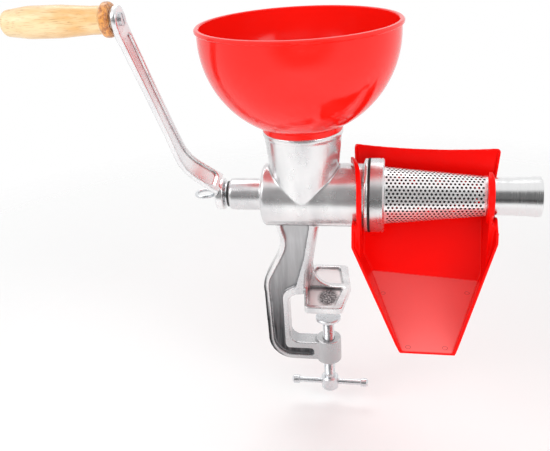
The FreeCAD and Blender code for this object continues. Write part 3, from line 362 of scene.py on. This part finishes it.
def applied(piece):
    """Makes the piece's modifiers final."""
    bpy.context.view_layer.update()
    graph = bpy.context.evaluated_depsgraph_get()
    final = bpy.data.meshes.new_from_object(piece.evaluated_get(graph))
    piece.modifiers.clear()
    piece.data = final
    final.shade_smooth()


def soft_casting(name, node, grid, turned=Matrix()):
    """Casting with softened edges and blended creases.

    The CAD surface is rebuilt on an even grid, then relaxed. The grid's axes can be turned to
    lie along the piece's flat sides.
    """
    piece = merged_copy(name, node)
    piece.data.transform(turned)
    cell, rounds = grid
    rebuilt = piece.modifiers.new("even_grid", "REMESH")
    rebuilt.mode = "VOXEL"
    rebuilt.voxel_size = cell * MM
    relaxed = piece.modifiers.new("relaxed", "SMOOTH")
    relaxed.factor = RELAX_SHARE
    relaxed.iterations = rounds
    applied(piece)
    piece.data.transform(turned.inverted())
    return piece


def thinned(piece):
    """Collapses the piece's triangles to the most that one piece may have."""
    thin = piece.modifiers.new("thinned", "DECIMATE")
    thin.ratio = TRIANGLE_LIMIT / (2 * len(piece.data.polygons))
    applied(piece)


def vertex_rows(piece, field):
    """A vector field of the piece's vertices as rows of three."""
    values = np.empty(len(piece.data.vertices) * 3)
    piece.data.vertices.foreach_get(field, values)
    return values.reshape(-1, 3)


def spread(piece, values, rounds):
    """Values of the vertices averaged with their neighbours, several times over."""
    mesh = piece.data
    count = len(mesh.vertices)
    ends = np.empty(len(mesh.edges) * 2, dtype=int)
    mesh.edges.foreach_get("vertices", ends)
    a, b = ends.reshape(-1, 2).T
    meets = (np.bincount(a, minlength=count) + np.bincount(b, minlength=count))[:, None]
    for _ in range(rounds):
        sums = [np.bincount(a, row[b], count) + np.bincount(b, row[a], count) for row in values.T]
        values = (values + np.stack(sums, 1)) / (1 + meets)
    return values


def write_attribute(piece, name, level, rounds):
    """Stores one float for each vertex, averaged with its neighbours."""
    level = spread(piece, level[:, None], rounds)[:, 0].astype(np.float32)
    piece.data.attributes.new(name, "FLOAT", "POINT").data.foreach_set("value", level)


def mark(piece, name, value):
    """Attribute from value(place, normal), with the place in millimetres."""
    level = value(vertex_rows(piece, "co") / MM, vertex_rows(piece, "normal")).astype(float)
    write_attribute(piece, name, level, MARK_BLUR)


def mark_relief(piece, rounds):
    """Attribute "relief": how far averaging pulls the surface in, in millimetres.

    It is above 0 on edges and below 0 in creases.
    """
    at = vertex_rows(piece, "co") / MM
    pulled = ((at - spread(piece, at, rounds)) * vertex_rows(piece, "normal")).sum(1)
    write_attribute(piece, "relief", pulled, RELIEF_BLUR)


def sunk_fields(place_at, facing):
    """1 on the sunk fields of the leg's sides, -1 on the brushed fields of the jaw's top."""
    x, y, z = place_at.T
    leg = (np.abs(np.abs(y) - PANEL_Y[0]) < PANEL_Y[1]) & (z < PANEL_TOP_Z)
    jaw = (np.abs(z - JAW_FIELD_Z[0]) < JAW_FIELD_Z[1]) & (np.abs(x) < JAW_HALF_X)
    leg &= np.abs(facing[:, 1]) > FIELD_FACING
    jaw &= facing[:, 2] > FIELD_FACING
    return leg * 1.0 - jaw * 1.0


def painted_shade_mask(place_at, facing):
    """1 where shade is painted: under the barrel, and on the leg's rear rim.

    The band of painted shade on the rim is measured from the smallest x found at the same height.
    It is
    REAR_BAND[0] wide at the foot, and narrows and fades to REAR_BAND[1] and 0 at the top.
    """
    x, y, z = place_at.T
    low, high = UNDERSIDE
    outside = np.hypot(y, z - SHAFT_Z) > BARREL_SHADE_R
    barrel = outside & (z > BARREL_SHADE_Z) & (z < SHAFT_Z)
    under = np.clip((-facing[:, 2] - low) / (high - low), 0, 1) * barrel
    rows = np.floor((z - z.min()) / REAR_ROW).astype(int)
    rear_x = np.full(rows.max() + 1, np.inf)
    np.minimum.at(rear_x, rows, x)
    row_z = z.min() + REAR_ROW * (np.arange(len(rear_x)) + 0.5)
    behind = x - np.interp(z, row_z, rear_x) < np.interp(z, REAR_BAND_Z, REAR_BAND)
    fade = np.interp(z, (REAR_BAND_FULL_Z, REAR_BAND_Z[1]), (1.0, 0.0))
    return np.maximum(under, behind * fade)


def tray_floor(place_at, facing):
    """1 on the floor of the chute's tray."""
    return ((facing[:, 2] > TRAY_FACING) & (place_at[:, 2] < TRAY_TOP_Z)) * 1.0


def screw_end(source, level, up):
    """The CAD screw's part beyond a height, closed by a flat face; up says which side goes."""
    end = bmesh.new()
    end.from_mesh(source.data)
    cut = bmesh.ops.bisect_plane(
        end, geom=end.verts[:] + end.edges[:] + end.faces[:], dist=CUT_REACH,
        plane_co=(0, 0, level * MM), plane_no=(0, 0, up), clear_outer=True)
    rim = [part for part in cut["geom_cut"] if isinstance(part, bmesh.types.BMEdge)]
    bmesh.ops.contextual_create(end, geom=rim)
    mesh = bpy.data.meshes.new("screw_end")
    end.to_mesh(mesh)
    end.free()
    return mesh


def threaded_clamp_screw():
    """Clamp screw with its thread: the CAD head and tip with a threaded rod between them.

    The rod's radius falls from SCREW_R by THREAD_DEPTH times the triangle wave of its height in
    pitches less its turn, and the thread runs out at both ends.
    """
    rows = int((SCREW_TOP_Z - SCREW_FOOT_Z) / THREAD_PITCH * ROWS_A_TURN)
    heights = np.linspace(SCREW_FOOT_Z - ROD_INTO_END, SCREW_TOP_Z + ROD_INTO_END, rows)
    z, turn = np.meshgrid(heights, np.arange(ROD_SIDES) / ROD_SIDES, indexing="ij")
    saw = np.abs(2 * np.mod(z / THREAD_PITCH - turn, 1.0) - 1)
    from_end = np.minimum(z - SCREW_FOOT_Z - THREAD_START, SCREW_TOP_Z - z)
    r = SCREW_R - ROD_INSET - THREAD_DEPTH * saw * np.clip(from_end / THREAD_PITCH, 0, 1)
    rod = np.stack([r * np.cos(turn * TURN), r * np.sin(turn * TURN), z], 2).reshape(-1, 3)
    ends = [list(range(ROD_SIDES))[::-1], list(range((rows - 1) * ROD_SIDES, rows * ROD_SIDES))]
    mesh = bpy.data.meshes.new("clamp_screw_threaded")
    mesh.from_pydata(rod * MM, [], ring_faces(rows, ROD_SIDES, False) + ends)
    source = merged_copy("screw_ends", "clamp_screw")
    whole = bmesh.new()
    whole.from_mesh(mesh)
    for level, up in ((SCREW_FOOT_Z, 1), (SCREW_TOP_Z, -1)):
        whole.from_mesh(screw_end(source, level, up))
    whole.to_mesh(mesh)
    whole.free()
    bpy.data.objects.remove(source)
    turned_outwards(mesh, SCREW_SHARP_ANGLE)
    screw = shown("clamp_screw_threaded", mesh)
    place(screw, "clamp_screw", "plated_steel", FINISHES["plated_steel"], "clamp_screw")


# ---------------------------------------------------------------- materials

class Shader:
    """Builds a node tree: add() makes a node, sets or joins its inputs, and returns one output."""

    def __init__(self, owner):
        owner.use_nodes = True
        self.owner = owner
        self.tree = owner.node_tree
        self.tree.nodes.clear()

    def add(self, kind, inputs=None, output=0, **settings):
        node = self.tree.nodes.new("ShaderNode" + kind)
        for key, value in settings.items():
            setattr(node, key, value)
        for key, value in (inputs or {}).items():
            if isinstance(value, bpy.types.NodeSocket):
                self.tree.links.new(value, node.inputs[key])
            else:
                node.inputs[key].default_value = value
        return node.outputs[output] if len(node.outputs) else None

    def coords(self, x=1.0, y=1.0, z=1.0):
        """Object coordinates, stretched along each axis by the given factors."""
        plain = self.add("TexCoord", output="Object")
        return self.add("Mapping", {"Vector": plain, "Scale": (x, y, z)})

    def axis(self, index, vector=None):
        """One coordinate of the piece in metres, or one part of another vector."""
        whole = vector if vector is not None else self.add("TexCoord", output="Object")
        return self.add("SeparateXYZ", {0: whole}, index)

    def attribute(self, name):
        """Value of one of the mesh's attributes."""
        return self.add("Attribute", output="Fac", attribute_name=name)

    def noise(self, scale, detail=2.0, roughness=0.5, vector=None):
        """Noise over the object coordinates, or over another vector."""
        where = vector if vector is not None else self.coords()
        inputs = {"Vector": where, "Scale": scale, "Detail": detail, "Roughness": roughness}
        return self.add("TexNoise", inputs)

    def between(self, value, low, high, start=0.3, end=0.7, **settings):
        """Maps the span from start to end onto low to high, held at both ends."""
        inputs = {"Value": value, "From Min": start, "From Max": end, "To Min": low, "To Max": high}
        return self.add("MapRange", inputs, **settings)

    def mixed(self, factor, first, second):
        """Colour between two colours or colour outputs."""
        ends = [v if isinstance(v, bpy.types.NodeSocket) else (*v, 1.0) for v in (first, second)]
        return self.add("Mix", {0: factor, 6: ends[0], 7: ends[1]}, 2, data_type="RGBA")

    def math(self, operation, first, second=0.0):
        return self.add("Math", {0: first, 1: second}, operation=operation)

    def away(self, point, stretch=(1.0, 1.0, 1.0)):
        """Distance in metres from a point in millimetres, each axis times its stretch."""
        middle = tuple(v * k * MM for v, k in zip(point, stretch))
        inputs = {0: self.coords(*stretch), 1: middle}
        return self.add("VectorMath", inputs, "Value", operation="DISTANCE")

    def bump(self, height, strength, distance, under=None):
        """Bump normal from a height, on top of another bump if there is one."""
        inputs = {"Height": height, "Strength": strength, "Distance": distance}
        if under is not None:
            inputs["Normal"] = under
        return self.add("Bump", inputs)

    def surface(self, **inputs):
        """Principled surface; an underscore in an input's name stands for a space."""
        named = {key.replace("_", " "): value for key, value in inputs.items()}
        self.add("OutputMaterial", {"Surface": self.add("BsdfPrincipled", named)})
        return self.owner


def material(name):
    """Shader builder on a new material."""
    return Shader(bpy.data.materials.new(name))


def metres(span):
    """Both ends of a span in millimetres, turned into metres."""
    return span[0] * MM, span[1] * MM


def cast_aluminium(name, crease_shade_span, edge_span, painted_edge_tone, fog, shine, dimmest=0.62):
    """Tumbled and polished casting with cloudy brightness and soft waves.

    By the "relief" attribute creases get painted shade, and edges take a painted tone of their own:
    a painted highlight where it is light, painted dark reflection lines where it is dark. Where the
    "sunk" attribute is 1 the polishing wheel hasn't reached, and the metal is duller, with streaks
    along the height and a painted dark reflection that darkens it towards the foot; where it is -1
    the metal is brushed. The lower arm is darkened downwards by painted shade. A third attribute
    marks painted shade under the barrel and on the leg's rear rim, and a speckled dark blotch on
    the jaw is a painted reflection.
    """
    s = material(name)
    cloud = s.between(s.noise(38.0, 3.0, 0.5, s.coords(1.3, 1.3, 0.3)), 0.0, 1.0)
    polished = s.mixed(cloud, (dimmest, dimmest, dimmest + 0.015), POLISHED)
    height = s.axis(2)
    # painted dark reflection: the sunk fields darken towards the foot
    foot = s.between(height, 0.0, 1.0, *metres(LEG_SHADE_Z))
    darker = s.mixed(foot, FOOT_DARK, LEG_DARK)
    lighter = s.mixed(foot, FOOT_LIGHT, LEG_LIGHT)
    streaks = s.between(s.noise(90.0, 4.0, 0.65, s.coords(3.0, 3.0, 0.22)), 0.0, 0.6)
    streaked = s.mixed(streaks, darker, lighter)
    sunk = s.attribute("sunk")
    on_jaw = s.between(sunk, 1.0, 0.0, -1.0, 0.0)
    on_leg = s.between(sunk, 0.0, 1.0, 0.0, 1.0)
    # painted shade: the lower arm darkens downwards
    arm = s.mixed(s.between(height, 0.6, 0.0, *metres(ARM_SHADE_Z)), polished, ARM_PAINTED_SHADE)
    metal = s.mixed(on_leg, s.mixed(on_jaw, arm, BRUSHED), streaked)
    relief = s.attribute("relief")
    # painted shade in the creases
    crease = s.between(relief, 0.7, 0.0, -crease_shade_span[1], -crease_shade_span[0])
    # painted tone on the edges: a highlight where it is light, dark reflection lines where it is
    # dark
    edge = s.between(relief, 0.0, 0.7, *edge_span)
    with_painted_edges = s.mixed(edge, s.mixed(crease, metal, CREASE_PAINTED_SHADE), painted_edge_tone)
    # painted shade under the barrel and on the leg's rear rim
    with_painted_shade = s.mixed(s.attribute("painted_shade_level"), with_painted_edges, PAINTED_SHADE_TONE)
    grit = s.between(s.noise(520.0, 2.0, 0.7), 0.45, 1.0, 0.38, 0.54)
    # painted dark reflection: a speckled blotch on the jaw's front field
    painted_reflection_blotch = s.between(s.away(JAW_PAINTED_REFLECTION, JAW_PAINTED_REFLECTION_STRETCH), 1.0, 0.0, *metres(JAW_PAINTED_REFLECTION_R))
    colour = s.mixed(s.math("MULTIPLY", painted_reflection_blotch, grit), with_painted_shade, PAINTED_REFLECTION_TONE)
    cloudy = s.between(s.noise(70.0, 3.0, 0.55), fog, fog + 0.1)
    rough = s.math("ADD", cloudy, s.math("MULTIPLY", s.math("ABSOLUTE", sunk), 0.10))
    plain_metallic = s.between(sunk, shine, 1.0, 0.0, 1.0)
    jaw_metallic = s.between(sunk, BRUSHED_METALLIC - shine, 0.0, -1.0, 0.0)
    waves = s.bump(s.noise(26.0, 2.0), 0.30, 0.0016)
    return s.surface(Base_Color=colour, Metallic=s.math("ADD", plain_metallic, jaw_metallic),
                     Roughness=rough, Normal=waves)


def sheet_steel():
    """Bright stainless sheet with faint rolling lines along the shaft."""
    s = material("strainer_steel")
    lines = s.noise(60.0, 3.0, 0.6, s.coords(1.0, 14.0, 14.0))
    colour = s.mixed(lines, (0.88, 0.88, 0.885), (0.96, 0.96, 0.96))
    return s.surface(Base_Color=colour, Metallic=0.70, Roughness=s.between(lines, 0.20, 0.30),
                     Normal=s.bump(lines, 0.12, 0.0002))


def painted_shade_inside():
    """Inside of the strainer's sheet, nearly black: painted shade."""
    s = material("strainer_inside_painted_shade")
    cloud = s.noise(200.0, 3.0)
    colour = s.mixed(cloud, (0.010, 0.010, 0.011), (0.022, 0.021, 0.022))
    return s.surface(Base_Color=colour, Specular_IOR_Level=0.15,
                     Roughness=s.between(cloud, 0.65, 0.80))


def spun_steel():
    """Spun stainless: fine turned lines round the shaft's axis."""
    s = material("spun_steel")
    lines = s.noise(30.0, 4.0, 0.7, s.coords(70.0, 0.6, 0.6))
    colour = s.mixed(lines, (0.70, 0.70, 0.71), (0.90, 0.90, 0.90))
    return s.surface(Base_Color=colour, Metallic=1.0, Roughness=s.between(lines, 0.14, 0.30),
                     Normal=s.bump(lines, 0.10, 0.0001))


def plated_steel():
    """Zinc plated steel."""
    s = material("zinc_plate")
    cloud = s.noise(150.0, 4.0, 0.6)
    colour = s.mixed(cloud, (0.62, 0.64, 0.67), (0.80, 0.81, 0.82))
    return s.surface(Base_Color=colour, Metallic=1.0, Roughness=s.between(cloud, 0.22, 0.36),
                     Normal=s.bump(s.noise(1400.0), 0.08, 0.0001))


def red_base(s, paleness):
    """Colour and orange peel of the red mouldings; a lower paleness gives a deeper red."""
    deep = (0.90, 0.008 * paleness, 0.004 * paleness)
    light = (0.96, 0.013 * paleness, 0.007 * paleness)
    colour = s.mixed(s.noise(14.0, 2.0), deep, light)
    return colour, s.bump(s.noise(260.0, 1.0), 0.05, 0.0004)


def red_plastic():
    """Glossy red moulding with a faint flow and orange peel."""
    s = material("red_moulding")
    colour, peel = red_base(s, 1.0)
    return s.surface(Base_Color=colour, Roughness=s.between(s.noise(45.0, 3.0), 0.11, 0.16),
                     Specular_IOR_Level=0.40, Normal=peel)


def chute_plastic():
    """Red moulding whose tray has a rougher floor with a sheen, paler in colour by a painted sheen,
    and the rings of ejector pins.
    """
    s = material("chute_red")
    colour, peel = red_base(s, 0.3)
    tray = s.attribute("tray")
    rings = 0.0
    for point in EJECTOR_MARKS:
        edge = s.math("ABSOLUTE", s.math("SUBTRACT", s.away(point), EJECTOR_R * MM))
        rings = s.math("MAXIMUM", rings, s.between(edge, 1.0, 0.0, *metres(EJECTOR_LINE)))
    # painted sheen: the tray's floor is a paler red
    painted_sheen = s.mixed(tray, colour, (1.0, 0.108, 0.100))
    marked = s.mixed(s.math("MULTIPLY", rings, 0.85), painted_sheen, (0.50, 0.008, 0.008))
    return s.surface(Base_Color=marked, Roughness=s.between(tray, 0.24, 0.42, 0.0, 1.0),
                     Specular_IOR_Level=s.between(tray, 0.12, 0.6, 0.0, 1.0),
                     Sheen_Weight=s.between(tray, 0.0, 0.8, 0.0, 1.0), Sheen_Roughness=0.5,
                     Sheen_Tint=(1.0, 0.75, 0.75, 1.0), Normal=s.bump(rings, 0.4, 0.0003, peel))


def painted_shade_black():
    """Satin black moulding: painted shade on the white plastic auger and bushing."""
    s = material("black_moulding_painted_shade")
    flow = s.noise(60.0, 3.0)
    colour = s.mixed(flow, (0.012, 0.012, 0.013), (0.03, 0.03, 0.03))
    return s.surface(Base_Color=colour, Roughness=s.between(flow, 0.32, 0.48),
                     Normal=s.bump(s.noise(500.0), 0.06, 0.0003))


def black_rubber():
    """Matt black rubber."""
    s = material("seal_rubber")
    cloud = s.noise(300.0, 3.0)
    colour = s.mixed(cloud, (0.012, 0.012, 0.012), (0.035, 0.035, 0.034))
    return s.surface(Base_Color=colour, Roughness=s.between(cloud, 0.55, 0.75),
                     Specular_IOR_Level=0.2, Normal=s.bump(cloud, 0.15, 0.0002))


def beech():
    """Varnished beech turned along its grain.

    It has a broad amber figure and short dark flecks, and the bead at the crank is scorched.
    """
    s = material("varnished_beech")
    figure = s.noise(26.0, 3.0, 0.6, s.coords(0.7, 2.2, 2.2))
    fleck = s.noise(90.0, 2.0, 0.6, s.coords(0.9, 14.0, 14.0))
    tone = s.between(figure, 0.0, 1.0, 0.40, 0.66)
    amber = s.mixed(tone, (0.93, 0.70, 0.40), (0.80, 0.45, 0.16))
    flecked = s.mixed(s.between(fleck, 0.0, 0.6, 0.54, 0.72), amber, (0.42, 0.19, 0.06))
    bead = s.between(s.axis(0), 0.0, 1.0, *metres((BEAD_X - BEAD_FADE, BEAD_X + BEAD_FADE)))
    blotch = s.between(s.noise(330.0, 3.0, 0.7), 0.0, 1.0, 0.42, 0.62)
    scorch = s.mixed(blotch, (0.80, 0.33, 0.07), (0.34, 0.09, 0.02))
    scorched = s.mixed(s.math("MULTIPLY", bead, 0.9), flecked, scorch)
    return s.surface(Base_Color=scorched, Roughness=s.between(fleck, 0.28, 0.40),
                     Coat_Weight=0.5, Coat_Roughness=0.15, Normal=s.bump(fleck, 0.10, 0.0003))


FINISHES = {
    # light edge tone: painted highlight on the casting's edges
    "cast_aluminium": cast_aluminium(
        "polished_casting", (0.05, 0.17), (0.10, 0.30), (0.95, 0.95, 0.95), fog=0.20, shine=0.80),
    "polished_steel": spun_steel(),
    "plated_steel": plated_steel(),
    "red_plastic": red_plastic(),
    "white_plastic": painted_shade_black(),      # auger and bushing are white plastic drawn black: painted shade
    "black_rubber": black_rubber(),
    "beech_wood": beech(),
}

for part in frame["record"]["subparts"]:
    mesh = NODES[part["node"]].data
    mesh.materials.clear()
    mesh.materials.append(FINISHES[part["material_slot"]])

casting = soft_casting("casting", "body_casting", CASTING_GRID)
mark(casting, "sunk", sunk_fields)
# painted shade under the barrel and on the leg's rear rim
mark(casting, "painted_shade_level", painted_shade_mask)
mark_relief(casting, CASTING_RELIEF)
thinned(casting)
place(casting, "frame", "cast_aluminium", FINISHES["cast_aluminium"], "body_casting")

along_strap = Matrix.Rotation(STRAP_SLOPE, 4, "Y") @ Matrix.Rotation(-CRANK_LEAN, 4, "X")
crank = soft_casting("crank", "crank_arm", CRANK_GRID, along_strap)
mark_relief(crank, CRANK_RELIEF)
# dark edge tone: painted dark reflection lines along the crank's edges
crank_metal = cast_aluminium(
    "crank_casting", (0.06, 0.22), (0.12, 0.40), (0.45, 0.44, 0.45), fog=0.22, shine=0.85,
    dimmest=0.82)
place(crank, "drive", "cast_aluminium", crank_metal, "crank_arm")

NODES["thrust_washer"].data.materials[0] = FINISHES["plated_steel"]
# light edge tone: painted highlight on the nut's edges
NODES["ring_nut"].data.materials[0] = cast_aluminium(
    "nut_casting", (0.1, 0.2), (0.1, 0.2), (0.9, 0.9, 0.9), fog=0.24, shine=0.93)

chute = soft_casting("chute_moulding", "chute", CHUTE_GRID)
mark(chute, "tray", tray_floor)
thinned(chute)
place(chute, "chute", "red_plastic", chute_plastic(), "chute")

perforated_cone()
squeezed_gasket()
threaded_clamp_screw()


# ---------------------------------------------------------------- stage, light and camera

def plain_floor(level):
    """Large pale floor that fades out with the distance from the strainer."""
    mesh = bpy.data.meshes.new("floor")
    signs = ((-1, -1), (1, -1), (1, 1), (-1, 1))
    corners = [(i * FLOOR_HALF, j * FLOOR_HALF, level) for i, j in signs]
    mesh.from_pydata(corners, [], [(0, 1, 2, 3)])
    floor = shown("floor", mesh)
    s = material("pale_floor")
    colour = s.mixed(s.noise(3.0), (0.94, 0.94, 0.94), (0.96, 0.96, 0.96))
    paint = s.add("BsdfPrincipled", {"Base Color": colour, "Roughness": 0.8})
    edge = s.between(s.away((0, 0, level / MM)), 0.0, 1.0, *FLOOR_FADE)
    faded = s.add("MixShader", {0: edge, 1: paint, 2: s.add("BsdfTransparent")})
    s.add("OutputMaterial", {"Surface": faded})
    mesh.materials.append(s.owner)


def soft_box(name, place_at, size, power, mirrored):
    """Rectangular area lamp that points at the strainer."""
    lamp = bpy.data.lights.new(name, "AREA")
    lamp.shape = "RECTANGLE"
    lamp.size, lamp.size_y = size
    lamp.energy = power
    lit = shown(name, lamp)
    lit.location = place_at
    lit.rotation_mode = "QUATERNION"
    lit.rotation_quaternion = (Vector(LAMP_AIM) - Vector(place_at)).to_track_quat("-Z", "Y")
    lit.visible_glossy = mirrored


def studio_world():
    """Even light for diffuse surfaces, and white for the camera.

    Reflections and glass see white too, with one dark bay and a dark strip along the horizon,
    both in front of the strainer. They are the unlit part of the studio, which polished metal
    shows as soft grey bands.
    """
    world = bpy.data.worlds.new("studio")
    bpy.context.scene.world = world
    s = Shader(world)
    seen = s.add("LightPath", output="Is Camera Ray")
    mirrored = s.add("LightPath", output="Is Glossy Ray")
    through = s.add("LightPath", output="Is Transmission Ray")
    direction = s.add("TexCoord", output="Generated")
    toward = s.add("VectorMath", {0: direction, 1: BAY_DIRECTION}, "Value", operation="DOT_PRODUCT")
    soft = {"interpolation_type": "SMOOTHSTEP"}
    bay = s.between(toward, 1.0, BAY_LEVEL, BAY_EDGE, BAY_CORE, **soft)
    height = s.math("ABSOLUTE", s.axis(2, direction))
    lowest = s.between(s.axis(1, direction), HORIZON_LEVEL, 1.0, *HORIZON_FRONT)
    horizon = s.between(height, lowest, 1.0, *HORIZON_SPAN, **soft)
    any_mirror = s.math("MAXIMUM", mirrored, through)
    levels = (1.0, WORLD_LEVEL, s.math("MULTIPLY", bay, horizon))
    white, plain, studio = (
        s.add("Background", {"Color": (1, 1, 1, 1), "Strength": level}) for level in levels)
    lit = s.add("MixShader", {0: any_mirror, 1: plain, 2: studio})
    s.add("OutputWorld", {"Surface": s.add("MixShader", {0: seen, 1: lit, 2: white})})


def product_camera():
    """Camera at the product view, from its yaw, pitch and roll about the strainer."""
    yaw, pitch, roll = (math.radians(angle) for angle in VIEW_ANGLES)
    flat = math.cos(pitch)
    back = Vector((math.sin(yaw) * flat, -math.cos(yaw) * flat, math.sin(pitch)))
    level = Vector((math.cos(yaw), math.sin(yaw), 0))
    upright = back.cross(level)
    right = level * math.cos(roll) + upright * math.sin(roll)
    up = upright * math.cos(roll) - level * math.sin(roll)
    data = bpy.data.cameras.new("product_view")
    data.lens = LENS
    data.sensor_width = SENSOR
    data.clip_start, data.clip_end = CLIP
    camera = shown("product_view", data)
    turned = Matrix((right, up, back)).transposed().to_4x4()
    camera.matrix_world = Matrix.Translation(VIEW_PLACE) @ turned
    bpy.context.scene.camera = camera


plain_floor(cad_box[0].z - CLAMP_DROP - FLOOR_GAP)
studio_world()
for lamp in LAMPS:
    soft_box(*lamp)
product_camera()
bpy.context.scene.view_settings.view_transform = "Standard"
